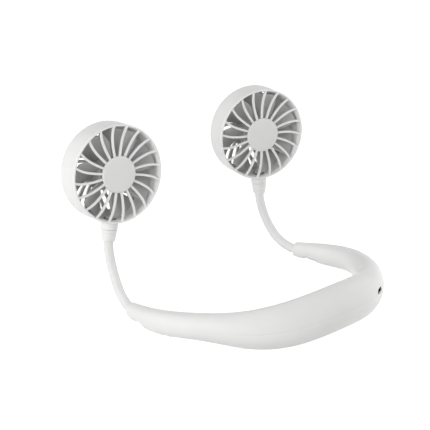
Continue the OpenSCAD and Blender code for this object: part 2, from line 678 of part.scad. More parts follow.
module front_grille(side) {
    rim_in = head_r - rim_w;
    rim_back = rim_forward - rim_ring_h;
    edge = [for (k = [0:outline_steps]) let (a = 90 * k / outline_steps)
        [head_r - rim_edge + rim_edge * cos(a), rim_forward - rim_edge + rim_edge * sin(a)]];
    color(shell_white) at_head(side) difference() {
        union() {
            rotate_extrude($fn = 96) polygon(concat([[rim_in, rim_back], [head_r, rim_back]], edge,
                [[rim_in, rim_forward]]));
            rotate_extrude($fn = 96) polygon([[head_in_r - ring_gap - skirt_t, rim_back + ring_gap],
                [head_in_r - ring_gap - skirt_t / 2, rim_back - skirt_h],
                [head_in_r - ring_gap, rim_back - skirt_h],
                [head_in_r - ring_gap, rim_back], [rim_in + skirt_t / 2, rim_back],
                [rim_in + skirt_t / 2, rim_back + skirt_t]]);
            translate([0, 0, grille_front - rib_t]) linear_extrude(height = rib_t) union() {
                circle(r = grille_hub_r);
                for (k = [0:rib_count - 1]) rotate(k * 360 / rib_count)
                    polygon(swept_rib(grille_hub_r - rib_w / 2, rim_in + rim_w / 4, rib_w, rib_w,
                        rib_start_angle, rib_sweep_angle, rib_power));
            }
        }
        translate([0, 0, grille_front - rib_t - cut])
            cylinder(d = peg_d + 2 * peg_fit, h = rib_t + 2 * cut);
    }
}
module hub_cap(side) {
    cap_back = grille_front + ring_gap / 2;
    cap_front = rim_forward + hub_proud;
    cap_r = hub_cap_d / 2;
    edge = [for (k = [0:outline_steps]) let (a = 90 * k / outline_steps)
        [cap_r - cap_edge + cap_edge * cos(a), cap_front - cap_edge + cap_edge * sin(a)]];
    color(hub_grey) at_head(side) union() {
        rotate_extrude($fn = 96) polygon(concat([[0, cap_back], [cap_r, cap_back]], edge,
            [[0, cap_front]]));
        translate([0, 0, cap_back - peg_h]) cylinder(d = peg_d, h = peg_h + overlap);
    }
}

// Places in the band
cell_share = -0.1513;
cell_inward = 2; // the straight cell sits inside the chord of the curved band
cell_drop = 1;
cell_end_d = 5.6; // the cell's raised contact
cell_end_h = 1;
cell_rib_from_angle = 196; // the rib's ends round the section, in degrees
cell_rib_to_angle = 344;
rib_steps = 16;
cell_rib_shares = [-0.081, -0.237];
rib_plate_t = 1.5;
seat_gap = 0.1;
port_share = 0.1866;
port_lift = 3.2; // socket above the centreline
port_recess = 0.6;
port_fit = 0.3;
port_reach = 1.5; // of the port's cut past the curved wall, each way
board_t = 1;
board_size = [32, 12.4];
board_from = [-17, -7.2];
board_posts = [-12, 10];
chip = [4.4, 4.4, 1];
coil_d = 5;
coil_h = 2.6;
board_post_d = 3;
screw_shares = [-0.807, -0.4036, 0, 0.4036, 0.807];
screw_head_d = 3.8;
screw_head_h = 1.6;
screw_fit = 0.1; // left free at the end of the thread
screw_clearance = 0.2; // round the head and shank in the lower shell
shell_boss_d = 5.2;
post_d = 6.2;
post_seat = 2.5; // thickness between the screw head and the parting line
pilot_depth = 6;
button_share = 0.937;
button_angle = 42; // place of the button round the section, below the inner side
button_proud = 0.5;
button_fit = 0.2;
tab_length = 10.6;
tab_w = 3.2;
tab_h = 0.8;
tab_lift = 0.8; // from the wall's inner side to the button's tabs
switch_board = [12.4, 4.6, 0.8];
switch_size = [4, 3, 1.6];
stem_d = 1.4;

module at_cell() {
    at_section(cell_share) translate([0, cell_inward, -cell_drop]) rotate([0, 90, 0]) children();
}
module battery() {
    color("steelblue") at_cell() {
        translate([0, 0, -cell_length / 2]) cylinder(d = cell_d, h = cell_length);
        translate([0, 0, cell_length / 2]) cylinder(d = cell_end_d, h = cell_end_h);
    }
}
// Plate across the lower shell that carries the cell
module cell_rib(t) {
    a = half_thickness(t) - band_wall / 2;
    b = half_height(t) - band_wall / 2;
    turn = cell_rib_to_angle - cell_rib_from_angle;
    difference() {
        at_section(t) across(rib_plate_t) polygon([for (k = [0:rib_steps])
            let (w = cell_rib_from_angle + turn * k / rib_steps) [a * cos(w), b * sin(w)]]);
        at_cell() cylinder(d = cell_d + 2 * seat_gap, h = 2 * cell_length, center = true);
    }
}
function parting_z(t) = -half_height(t) * sin(parting_angle);
module shell_boss(t) {
    top = half_height(t) - band_wall / 2;
    at_section(t) translate([0, 0, parting_z(t)]) cylinder(d = shell_boss_d, h = top - parting_z(t));
}
module shell_post(t) {
    bottom = -half_height(t) + band_wall / 2;
    at_section(t) translate([0, 0, bottom])
        cylinder(d = post_d, h = parting_z(t) - parting_gap - bottom);
}
module screw_cuts(t) {
    at_section(t) {
        translate([0, 0, -half_height(t) - cut]) {
            cylinder(d = screw_head_d + 2 * screw_clearance,
                h = half_height(t) + cut + parting_z(t) - post_seat);
            cylinder(d = screw_d + 2 * screw_clearance, h = half_height(t) + 2 * cut + parting_z(t));
        }
    }
}
module pilot_cut(t) {
    at_section(t) translate([0, 0, parting_z(t) - cut])
        cylinder(d = screw_d + screw_fit, h = pilot_depth + cut);
}
module shell_screws() {
    color(steel) for (t = screw_shares) at_section(t)
        translate([0, 0, parting_z(t) - post_seat - screw_head_h]) {
            difference() {
                cylinder(d = screw_head_d, h = screw_head_h);
                translate([0, 0, -cut]) cylinder(d = screw_d / 2, h = 2 * cut, $fn = 6);
            }
            cylinder(d = screw_d, h = screw_head_h + post_seat + pilot_depth - 2 * screw_fit);
        }
}
module at_port() {
    rise = port_lift / half_height(port_share);
    at_section(port_share)
        translate([0, -half_thickness(port_share) * sqrt(1 - rise * rise), port_lift])
        rotate([-90, 0, 0]) children();
}
socket_depth = 7.3;
socket_shell_t = 0.35;
socket_tongue = [6.4, 0.7];
module charging_socket() {
    color(steel) at_port() translate([0, 0, port_recess]) {
        difference() {
            slot_block(socket_w, socket_h, socket_depth);
            translate([0, 0, -cut]) slot_block(socket_w - 2 * socket_shell_t,
                socket_h - 2 * socket_shell_t, socket_depth - 2 * socket_shell_t + cut);
        }
        translate([-socket_tongue[0] / 2, -socket_tongue[1] / 2, 2 * socket_shell_t])
            cube([socket_tongue[0], socket_tongue[1], socket_depth - 3 * socket_shell_t]);
    }
}
module circuit_board() {
    top = port_lift - socket_h / 2;
    color("seagreen") at_section(port_share) {
        translate([board_from[0], board_from[1], top - board_t])
            cube([board_size[0], board_size[1], board_t]);
        translate([board_from[0] + chip[0], chip[1] / 2, top]) cube(chip);
        translate([board_from[0] + chip[0], -chip[1], top]) cylinder(d = coil_d, h = coil_h);
        translate([board_from[0] + board_size[0] - 2 * chip[0], 0, top]) cube(chip);
    }
}
module board_post(x) {
    t = port_share;
    bottom = -half_height(t) + band_wall / 2;
    at_section(t) translate([x, 0, bottom])
        cylinder(d = board_post_d, h = port_lift - socket_h / 2 - board_t - seat_gap - bottom);
}
module at_button(side) {
    t = side * button_share;
    a = half_thickness(t);
    b = half_height(t);
    at_section(t) translate([0, a * cos(button_angle), -b * sin(button_angle)])
        rotate([atan2(cos(button_angle) / a, sin(button_angle) / b), 0, 0]) children();
}
tab_z = band_wall + tab_lift;
stem_top = tab_z + tab_h + button_travel;
module power_button(side) {
    color(hub_grey) at_button(side) {
        translate([0, 0, -button_proud])
            slot_block(button_length, button_w, button_proud + tab_z + tab_h / 2);
        translate([-tab_length / 2, -tab_w / 2, tab_z]) cube([tab_length, tab_w, tab_h]);
    }
}
module power_switch(side) {
    board_z = stem_top + seat_gap + switch_size[2] + stem_d / 2;
    color("seagreen") at_button(side) {
        translate([-switch_board[0] / 2, -switch_board[1] / 2, board_z]) cube(switch_board);
        translate([-switch_size[0] / 2, -switch_size[1] / 2, board_z - switch_size[2]])
            cube(switch_size);
        translate([0, 0, stem_top + seat_gap]) cylinder(d = stem_d, h = stem_d);
    }
}
module switch_ledges(side) {
    board_z = stem_top + seat_gap + switch_size[2] + stem_d / 2;
    plate_t = (switch_board[0] - tab_length) / 2 - 2 * seat_gap;
    at_button(side) for (x = [-1, 1])
        translate([x * (switch_board[0] - plate_t) / 2, 0, band_wall / 2])
            across(plate_t) translate([-switch_board[1] / 2, 0])
                square([switch_board[1], board_z - seat_gap - band_wall / 2]);
}
module button_cut(side) {
    at_button(side) translate([0, 0, -button_proud - cut])
        slot_block(button_length + 2 * button_fit, button_w + 2 * button_fit,
            button_proud + cut + tab_z);
}
// Bore of a tip: the sleeve's socket, and behind it the anchor's bore and its flange pocket
module arm_socket_cut(side) {
    back = sleeve_in + anchor_h + anchor_behind;
    at(root_frame(side)) {
        translate([0, 0, -sleeve_in - anchor_fit])
            cylinder(d = sleeve_d + 2 * sleeve_fit, h = sleeve_in + anchor_d);
        translate([0, 0, -back]) cylinder(d = anchor_d + 2 * anchor_fit, h = back);
        translate([0, 0, -sleeve_in - anchor_h - anchor_fit])
            cylinder(d = anchor_flange_d + 2 * anchor_fit, h = anchor_flange_h + anchor_fit);
    }
}
module band_upper_shell() {
    color(shell_white) difference() {
        union() {
            band_skin(true, 0);
            for (t = screw_shares) shell_boss(t);
        }
        for (t = screw_shares) pilot_cut(t);
        for (side = [left, right]) arm_socket_cut(side);
        at_port() translate([0, 0, -port_reach])
            slot_block(socket_w + 2 * port_fit, socket_h + 2 * port_fit,
                band_wall + 2 * port_reach);
    }
}
module band_lower_shell() {
    color(shell_white) difference() {
        union() {
            band_skin(false, parting_gap);
            for (t = screw_shares) shell_post(t);
            for (t = cell_rib_shares) cell_rib(t);
            for (x = board_posts) board_post(x);
            for (side = [left, right]) switch_ledges(side);
        }
        for (t = screw_shares) screw_cuts(t);
        for (side = [left, right]) {
            arm_socket_cut(side);
            button_cut(side);
        }
        translate([-2 * band_depth, -2 * band_depth, -band_depth])
            cube([4 * band_depth, 4 * band_depth, band_depth]);
    }
}

band_upper_shell();
band_lower_shell();
battery();
circuit_board();
charging_socket();
shell_screws();
power_switch(left);  // left_switch
power_button(left);  // left_power_button
arm_anchor(left);  // left_arm_anchor
core_lower(left);  // left_core_lower
core_middle(left);  // left_core_middle
core_upper(left);  // left_core_upper
arm_sleeve(left);  // left_arm_sleeve
collar(left);  // left_collar
swivel_clip(left);  // left_swivel_clip
housing(left);  // left_housing
front_grille(left);  // left_front_grille
hub_cap(left);  // left_hub_cap
motor(left);  // left_motor
motor_screws(left);  // left_motor_screws
motor_shaft(left);  // left_motor_shaft
motor_rotor(left);  // left_motor_rotor
impeller(left);  // left_impeller
power_switch(right);  // right_switch
power_button(right);  // right_power_button
arm_anchor(right);  // right_arm_anchor
core_lower(right);  // right_core_lower
core_middle(right);  // right_core_middle
core_upper(right);  // right_core_upper
arm_sleeve(right);  // right_arm_sleeve
collar(right);  // right_collar
swivel_clip(right);  // right_swivel_clip
housing(right);  // right_housing
front_grille(right);  // right_front_grille
hub_cap(right);  // right_hub_cap
motor(right);  // right_motor
motor_screws(right);  // right_motor_screws
motor_shaft(right);  // right_motor_shaft
motor_rotor(right);  // right_motor_rotor
impeller(right);  // right_impeller
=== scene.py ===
# Looks of a neck fan: a white band worn round the neck, with a bendable arm at each tip and a
# round fan head on each arm. Metres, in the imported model's own frame: +Z up, the wearer faces +Y.
import math

import bpy
from mathutils import Matrix, Vector


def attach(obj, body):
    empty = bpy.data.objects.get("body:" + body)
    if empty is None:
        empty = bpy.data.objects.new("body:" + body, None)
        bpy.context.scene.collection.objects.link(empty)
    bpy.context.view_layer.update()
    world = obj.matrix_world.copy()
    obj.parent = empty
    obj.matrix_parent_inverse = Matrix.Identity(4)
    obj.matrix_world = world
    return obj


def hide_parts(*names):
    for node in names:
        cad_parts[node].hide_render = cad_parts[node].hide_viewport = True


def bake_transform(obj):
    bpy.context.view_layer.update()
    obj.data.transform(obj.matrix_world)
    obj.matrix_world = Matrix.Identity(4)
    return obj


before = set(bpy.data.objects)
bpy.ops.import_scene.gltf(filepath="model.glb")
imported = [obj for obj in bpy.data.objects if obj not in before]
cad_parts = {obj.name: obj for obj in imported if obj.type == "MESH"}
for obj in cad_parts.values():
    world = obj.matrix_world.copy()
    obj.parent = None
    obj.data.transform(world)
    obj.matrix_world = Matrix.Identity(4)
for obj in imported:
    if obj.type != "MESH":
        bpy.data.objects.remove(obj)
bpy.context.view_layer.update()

MM = 0.001
LEFT = -1
RIGHT = 1
SIDES = {"left": LEFT, "right": RIGHT}

# Modelling: what counts as one point, how far a cut runs past what it cuts, and the angles in
# degrees above which an edge is rounded or shaded sharp
MERGE_DISTANCE = 0.002 * MM
OVERRUN = 1 * MM
ROUNDED_ANGLE = 50
SHARP_ANGLE = 35

# Neck band. The rows of shares are the control values of its curves, from the nape to a tip
BAND_DEPTH = 115.5 * MM
TIP_HALF_GAP = 83.7 * MM
TIP_RISE = 5.8 * MM
NAPE_RISE = 13.4 * MM
NAPE_HEIGHT = 33 * MM
NAPE_THICKNESS = 22.4 * MM
TIP_HEIGHT = 11 * MM
TIP_THICKNESS = 10.1 * MM
TIP_ROUND = 1 * MM
TIP_FORWARD = BAND_DEPTH * 0.3044
MIDDLE_X = TIP_HALF_GAP * -0.0258
GRIP_SHARE = 0.948
GRIP_REACH_SHARE = 0.037
GRIP_DEPTH = 2.3 * MM
PARTING_ANGLE = 5
SHELL_SKIN = 1.1 * MM
SHELL_ROUND = 0.3 * MM
PLAN_X_SHARES = (0, 0.541, 0.916, 0.845, 1.178, 1)
PLAN_Y_SHARES = (1, 1, 0.7885, 0.575, 0.557, 0)
RISE_SHARES = (1, 1, -0.297, 1.468, 0.155, 0)
HEIGHT_SHARES = (1, 1, 1.119, -0.5, 0.84, 0)
THICKNESS_SHARES = (1, 1, 0.879, 0.199, 0.833, 0)

# Rings of the band's skin: along its length, over the finger hollow and round the tip's edge
BAND_SIDES = 72
LENGTH_STEPS = 38
GRIP_STEPS = 18
TIP_STEPS = 6

# How near the unit outline's points count as on the seam, and the skin's as on a tip's end
SEAM_SLACK = 0.001
TIP_PICK = 0.01 * MM

# Arms, with angles in degrees
SLEEVE_D = 7 * MM
SLEEVE_WALL = 1.2 * MM
SLEEVE_IN = 4 * MM
SLEEVE_FIT = 0.15 * MM
SLEEVE_END_GAP = 0.1 * MM
ARM_TURN = 12.3
ARM_RISE = 3.4
ARM_LOW_R = 28.5 * MM
ARM_MID_RISE = 49
ARM_HIGH_R = 58 * MM
ARM_HIGH_RISE = 73
NECK_BEND_R = 37.5 * MM
LEAN_WAY = {LEFT: 31.6, RIGHT: -6.6}
LEAN = {LEFT: 14.3, RIGHT: 14.6}
SWIVEL = {LEFT: 3.3, RIGHT: -31}
LOW_ANGLE = ARM_MID_RISE - ARM_RISE
HIGH_ANGLE = ARM_HIGH_RISE - ARM_MID_RISE

# Rings of a sleeve: how many each arc has, where its lengths meet, and where its last bend ends
SLEEVE_SIDES = 48
LOW_STEPS = 32
HIGH_STEPS = 20
LEAN_STEPS = 6
FIRST_CUT = 12
SECOND_CUT = 31

# Collars
COLLAR_LOW_D = 9.6 * MM
COLLAR_TOP_D = 11.6 * MM
COLLAR_H = 8.5 * MM
COLLAR_EDGE = 0.5 * MM
COLLAR_LINE = 0.3 * MM
COLLAR_LINE_DOWN = 2 * MM
COLLAR_ROUND = 0.12 * MM
SPIGOT_D = 6 * MM
SPIGOT_H = 8.6 * MM
SPIGOT_FIT = 0.06 * MM
WIRE_BORE_R = 1.3 * MM

# Head housings
NECK_LENGTH = 49 * MM
STUB_D = 12.2 * MM
STUB_GAP = 0.2 * MM
STUB_ROUND = 0.35 * MM
HEAD_R = 35 * MM
HEAD_DEPTH = 24 * MM
HEAD_WALL = 1.8 * MM
HEAD_ROUND = 6.5 * MM
DRUM_ROUND = 0.3 * MM
STUB_BED = HEAD_WALL / 6
RIM_FRONT = 9.3 * MM
BACK = RIM_FRONT - HEAD_DEPTH
FLOOR = BACK + HEAD_WALL
REAR_SLOTS = 24
REAR_DISC_R = 15 * MM
REAR_RIM = 4.6 * MM
REAR_SWEEP = 16
REAR_OPEN = 0.58

# Grilles and hub caps
RIM_DEPTH = 2.4 * MM
RING_GAP = 0.1 * MM
RIM_W = 1.3 * MM
RIM_EDGE = 0.7 * MM
RIM_ROUND = 0.25 * MM
SKIRT_T = 0.35 * MM
SKIRT_H = 1.4 * MM
RIB_COUNT = 20
RIB_W = 1.7 * MM
RIB_T = 1.8 * MM
RIB_START = 105
RIB_SWEEP = 6.5
RIB_POWER = 2.7
RIB_BED = 0.6 * MM
RIB_ROUND = 0.45 * MM
GRILLE_FRONT = RIM_FRONT - 0.3 * MM
HUB_R = 12.95 * MM
HUB_PROUD = 1.5 * MM
HUB_EDGE = 0.8 * MM
HUB_EDGE_TURN = 80
HUB_BACK_EDGE = 0.3 * MM
HUB_CROWN = 0.15 * MM
HUB_MIDWAY_FALL = 0.05 * MM
HUB_MIDWAY = 0.6
PIN_R = 2.5 * MM
PIN_LENGTH = 1.6 * MM
PLATE_R = HUB_R - 0.8 * MM
PLATE_ROUND = 0.2 * MM

# Motors
MOTOR_R = 10 * MM
MOTOR_H = 12 * MM
MOTOR_BACK_ROUND = 0.6 * MM
MOTOR_FRONT_ROUND = 1.2 * MM
MOTOR_ROUND = 0.15 * MM
BOSS_R = 3 * MM
BOSS_H = 1.5 * MM
SHAFT_BORE_R = 1.05 * MM
SHAFT_BORE_FLOOR = 2.5 * MM
MOTOR_FIT = 0.1 * MM
MOTOR_SOCKET_WALL = 1.3 * MM
MOTOR_SOCKET_H = 3 * MM

# Impellers: a pair gives a value at the blade's root and at its tip
CUP_IN_R = 11 * MM
CUP_WALL = 1.4 * MM
CUP_FRONT = RIM_FRONT - 5.8 * MM
CUP_BACK = FLOOR + 3.84 * MM
CUP_FACE = 1.8 * MM
BLADE_COUNT = 7
BLADE_T = 1.1 * MM
BLADE_ROUND = 0.4 * MM
BLADE_TIP_R = HEAD_R - HEAD_WALL - 2.2 * MM
BLADE_FRONT_SHARES = (0.42, 0.7)
BLADE_BACK_SHARES = (0.56, 0.46)
BLADE_CHORDS = (46, 49)
BLADE_SWEEP = 12
BLADE_CURL = 0.25

# Power buttons
BUTTON_SHARE = 0.937
BUTTON_ANGLE = 42
BUTTON_LENGTH = 9 * MM
BUTTON_W = 3.6 * MM
BUTTON_PROUD = 0.5 * MM
BUTTON_DEPTH = 2.4 * MM
BUTTON_GAP = 0.2 * MM
BUTTON_ROUND = 0.25 * MM
WINDOW_OUT = 2 * MM
WINDOW_IN = 2.2 * MM

# Charging socket
PORT_SHARE = 0.1866
PORT_LIFT = 3.2 * MM
PORT_RECESS = 0.6 * MM
PORT_GAP = 0.3 * MM
PORT_CUT = 3 * MM
SOCKET_W = 9 * MM
SOCKET_H = 3.2 * MM
SOCKET_DEPTH = 7.3 * MM
SOCKET_WALL = 0.35 * MM
SOCKET_ROUND = 0.08 * MM
TONGUE_HALF_W = 3.2 * MM
TONGUE_HALF_T = 0.35 * MM
TONGUE_BACK = 0.9 * MM
TONGUE_ROUND = 0.12 * MM

# Screws, their posts and wells. The shares are places along the band's curve
SCREW_SHARES = (-0.807, -0.4036, 0, 0.4036, 0.807)
SCREW_HEAD_R = 1.9 * MM
SCREW_HEAD_H = 1.6 * MM
SCREW_SHANK_R = 1 * MM
SCREW_LENGTH = 8.3 * MM
POST_R = 3.1 * MM
POST_SEAT = 2.5 * MM
POST_GAP = 0.4 * MM
POST_BED = 0.6 * MM
WELL_R = 2.1 * MM
WELL_OVERRUN = 3 * MM
MOTOR_SCREW_XS = (-6 * MM, 6 * MM)
MOTOR_SCREW_HEAD_R = 1.8 * MM
MOTOR_SCREW_HEAD_H = 0.9 * MM
MOTOR_SCREW_LENGTH = 2.3 * MM
MOTOR_WELL_DEPTH = 1 * MM

# A screw's head: its flat, brim and cross as shares of its radius and height
FLAT_SHARE = 0.6
BRIM_SHARE = 0.45
BRIM_TURN = 75
CROSS_LENGTH_SHARE = 0.62
CROSS_WIDTH_SHARE = 0.14

# Looks that the materials share
DRIFT_SIZE = 30 * MM
DRIFT_ENDS = (0.35, 0.65)
SHEEN_SPREAD = 0.12
SCATTER_COLOUR = (1.2, 1.1, 1.0)
SCATTER_DEPTH = 1.0 * MM
MARK_WIDTH = 0.15 * MM
MARK_DEPTH = 0.004 * MM
WEAR_SPREAD = 0.3

# Camera at the photograph's place: level turn, height angle, distance and framing
CAMERA_TURN = math.radians(-44.187)
CAMERA_HEIGHT = math.radians(19.536)
CAMERA_FAR = 937.2 * MM
CAMERA_AIM = Vector((-2.16 * MM, 38.07 * MM, 5.9 * MM))
CAMERA_NEAR_CLIP = 10 * MM
FRAME_RIGHT = 0.26 * MM
FRAME_UP = -45.06 * MM
LENS = 106.5
SENSOR = 36

# Studio: a lamp has its place and its power
FLOOR_SIZE = 6.0
FLOOR_PAINT = 0.7
FLOOR_GLOW = 0.85
ROOM_LIGHT = 0.28
ROOM_SEEN = 1.0
LAMP_SIZE = 0.8
LAMP_AIM = Vector((0, 0, 0.05))
LAMPS = {"left_soft_box": ((-1.3, -0.15, 0.5), 8.2),
         "right_soft_box": ((1.2, -0.35, 0.55), 8.8),
         "nape_soft_box": ((-0.5, -1.3, 0.6), 4.8),
         "front_soft_box": ((-0.9, 1.0, 0.5), 4.5)}


# The band's curve: t runs from -1 at the left tip through 0 at the nape to 1 at the right tip
def curve(shares, t):
    u = abs(t)
    v = 1 - u
    n = len(shares) - 1
    return sum(math.comb(n, k) * v ** (n - k) * u ** k * c for k, c in enumerate(shares))


def curve_rate(shares, t):
    n = len(shares) - 1
    return curve([n * (b - a) for a, b in zip(shares, shares[1:])], t)


def grip_lift(t):
    """How far the finger hollow behind each tip raises the underside."""
    way = min(abs(abs(t) - GRIP_SHARE) / GRIP_REACH_SHARE, 1)
    return GRIP_DEPTH * (1 + math.cos(math.pi * way)) / 2


def band_point(t):
    side = LEFT if t < 0 else RIGHT
    return Vector((MIDDLE_X + side * TIP_HALF_GAP * curve(PLAN_X_SHARES, t),
                   TIP_FORWARD - BAND_DEPTH * curve(PLAN_Y_SHARES, t),
                   TIP_RISE + NAPE_RISE * curve(RISE_SHARES, t) + grip_lift(t) / 2))


def half_height(t):
    spread = (NAPE_HEIGHT - TIP_HEIGHT) / 2
    return TIP_HEIGHT / 2 + spread * curve(HEIGHT_SHARES, t) - grip_lift(t) / 2


def half_thickness(t):
    spread = (NAPE_THICKNESS - TIP_THICKNESS) / 2
    return TIP_THICKNESS / 2 + spread * curve(THICKNESS_SHARES, t)


def heading_rate(t):
    side = LEFT if t < 0 else RIGHT
    return Vector((TIP_HALF_GAP * curve_rate(PLAN_X_SHARES, t),
                   -side * BAND_DEPTH * curve_rate(PLAN_Y_SHARES, t)))


def parting_level(t):
    """Where the shells part in a section, from its middle."""
    return -half_height(t) * math.sin(math.radians(PARTING_ANGLE))


def move(x=0.0, y=0.0, z=0.0):
    return Matrix.Translation((x, y, z))


def turn(degrees, axis):
    return Matrix.Rotation(math.radians(degrees), 4, axis)


def section(t):
    """Section frame: +X along the band towards the right tip, -Y outward, +Z up."""
    d = heading_rate(t)
    return Matrix.Translation(band_point(t)) @ Matrix.Rotation(math.atan2(d.y, d.x), 4, "Z")


# Arm frames: +Z runs along the arm, and +X is to the right of its plane
def along_arc(radius, angle):
    return move(y=-radius) @ turn(angle, "X") @ move(y=radius)


def root_frame(side):
    base = Matrix.Translation(band_point(side))
    return base @ turn(side * ARM_TURN, "Z") @ turn(ARM_RISE - 90, "X")


def high_frame(side):
    return root_frame(side) @ along_arc(ARM_LOW_R, LOW_ANGLE)


def bend_frame(side):
    return high_frame(side) @ along_arc(ARM_HIGH_R, HIGH_ANGLE) @ turn(LEAN_WAY[side], "Z")


def neck_frame(side):
    return bend_frame(side) @ along_arc(NECK_BEND_R, LEAN[side]) @ turn(-LEAN_WAY[side], "Z")


def head_frame(side):
    return neck_frame(side) @ move(z=NECK_LENGTH) @ turn(SWIVEL[side], "Z") @ turn(90, "X")


def button_frame(side):
    """+X along the band, +Z into the band, from the skin under the button."""
    t = side * BUTTON_SHARE
    a = half_thickness(t)
    b = half_height(t)
    w = math.radians(BUTTON_ANGLE)
    tilt = math.degrees(math.atan2(math.cos(w) / a, math.sin(w) / b))
    return section(t) @ move(y=a * math.cos(w), z=-b * math.sin(w)) @ turn(tilt, "X")


def port_frame():
    """+Z into the band through the charging port."""
    rise = PORT_LIFT / half_height(PORT_SHARE)
    out = half_thickness(PORT_SHARE) * math.sqrt(1 - rise * rise)
    return section(PORT_SHARE) @ move(y=-out, z=PORT_LIFT) @ turn(-90, "X")


# Modelling helpers
def only(*objects):
    bpy.ops.object.select_all(action="DESELECT")
    for obj in objects:
        obj.select_set(True)
    bpy.context.view_layer.objects.active = objects[0]


def edit_picked(obj):
    """Starts to edit with what is picked already."""
    only(obj)
    bpy.ops.object.mode_set(mode="EDIT")


def start_edit(obj, pick="SELECT"):
    edit_picked(obj)
    bpy.ops.mesh.select_all(action=pick)


def end_edit():
    bpy.ops.object.mode_set(mode="OBJECT")


def place(obj, matrix):
    """Moves a piece and applies the place to its mesh."""
    obj.matrix_world = matrix @ obj.matrix_world
    only(obj)
    bpy.ops.object.transform_apply(location=True, rotation=True, scale=True)
    return obj


def twin(obj, matrix=None):
    """A copy with a mesh of its own."""
    new = obj.copy()
    new.data = obj.data.copy()
    bpy.context.scene.collection.objects.link(new)
    return place(new, matrix) if matrix else new


def turned_twins(obj, count):
    """The rest of a ring of pieces, of which the given one is the first."""
    return [twin(obj, turn(360 / count * k, "Z")) for k in range(1, count)]


def joined(objects):
    only(*objects)
    if len(objects) > 1:
        bpy.ops.object.join()
    bpy.ops.object.transform_apply(location=True, rotation=True, scale=True)
    return bpy.context.object


def modify(obj, kind, **settings):
    only(obj)
    bpy.ops.object.modifier_add(type=kind)
    modifier = obj.modifiers[-1]
    for key, value in settings.items():
        setattr(modifier, key, value)
    bpy.ops.object.modifier_apply(modifier=modifier.name)
    return obj


def combine(obj, others, operation):
    """Boolean of one piece with several that don't touch each other."""
    tool = joined(others)
    modify(obj, "BOOLEAN", object=tool, operation=operation, solver="EXACT")
    bpy.data.objects.remove(tool)
    return obj


def soften(obj, width, segments=2):
    """Small rounding along every sharp edge."""
    return modify(obj, "BEVEL", width=width, segments=segments, limit_method="ANGLE",
                  angle_limit=math.radians(ROUNDED_ANGLE))


def thicken(obj, wall, offset=-1):
    """Gives a skin its wall: inward at -1, to both sides at 0."""
    return modify(obj, "SOLIDIFY", thickness=wall, offset=offset, use_even_offset=True)


def face_out(obj):
    """Turns each face's front outward."""
    start_edit(obj)
    bpy.ops.mesh.normals_make_consistent(inside=False)
    end_edit()
    return obj


def clean(obj):
    start_edit(obj)
    bpy.ops.mesh.remove_doubles(threshold=MERGE_DISTANCE)
    end_edit()
    return face_out(obj)


def arc(x, z, radius, start, end, steps):
    """Points of a profile's round stretch."""
    turns = [math.radians(start + (end - start) * k / steps) for k in range(steps + 1)]
    return [(x + radius * math.cos(a), z + radius * math.sin(a)) for a in turns]


def first_point():
    """A piece of one point, being edited, from which a line is drawn out."""
    bpy.ops.mesh.primitive_plane_add(size=MM)
    obj = bpy.context.object
    start_edit(obj)
    bpy.ops.mesh.merge(type="CENTER")
    return obj


def draw_out(way):
    bpy.ops.mesh.extrude_region_move(TRANSFORM_OT_translate={"value": way})


def spun(profile, steps):
    """Solid of revolution about Z: a point is drawn out along the profile, then spun."""
    obj = first_point()
    bpy.ops.transform.translate(value=(profile[0][0], 0, profile[0][1]))
    for (x0, z0), (x1, z1) in zip(profile, profile[1:]):
        draw_out((x1 - x0, 0, z1 - z0))
    bpy.ops.mesh.select_all(action="SELECT")
    bpy.ops.mesh.spin(steps=steps, angle=math.tau, center=(0, 0, 0), axis=(0, 0, 1))
    end_edit()
    return clean(obj)


def ring_outline(vertices):
    bpy.ops.mesh.primitive_circle_add(vertices=vertices, radius=1)
    return bpy.context.object


def loft(outline, places):
    """Skin through copies of an outline. A place is a matrix with its scale in it."""
    rings = [twin(outline) for _ in places]
    for ring, matrix in zip(rings, places):
        ring.matrix_world = matrix
    obj = joined(rings)
    start_edit(obj)
    bpy.ops.mesh.bridge_edge_loops()
    end_edit()
    return face_out(obj)


def slot_block(length, width, low, high):
    """Block with round ends, long along X: a disc pulled apart and drawn up."""
    bpy.ops.mesh.primitive_circle_add(vertices=32, radius=width / 2, fill_type="NGON")
    obj = bpy.context.object
    half = (length - width) / 2
    for way in (LEFT, RIGHT):
        start_edit(obj, "DESELECT")
        end_edit()
        for vertex in obj.data.vertices:
            vertex.select = vertex.co.x * way > MERGE_DISTANCE
        edit_picked(obj)
        bpy.ops.transform.translate(value=(way * half, 0, 0))
        end_edit()
    start_edit(obj)
    bpy.ops.transform.translate(value=(0, 0, low))
    draw_out((0, 0, high - low))
    end_edit()
    return clean(obj)


def rod(radius, low, high, vertices=32):
    bpy.ops.mesh.primitive_cylinder_add(vertices=vertices, radius=radius, depth=high - low,
                                        location=(0, 0, (low + high) / 2))
    obj = bpy.context.object
    bpy.ops.object.transform_apply(location=True, rotation=True, scale=True)
    return obj


def block(x, y, z):
    """Box between pairs of limits."""
    sizes = [b - a for a, b in (x, y, z)]
    bpy.ops.mesh.primitive_cube_add(size=1, location=[(a + b) / 2 for a, b in (x, y, z)])
    obj = bpy.context.object
    obj.scale = sizes
    bpy.ops.object.transform_apply(location=True, rotation=True, scale=True)
    return obj


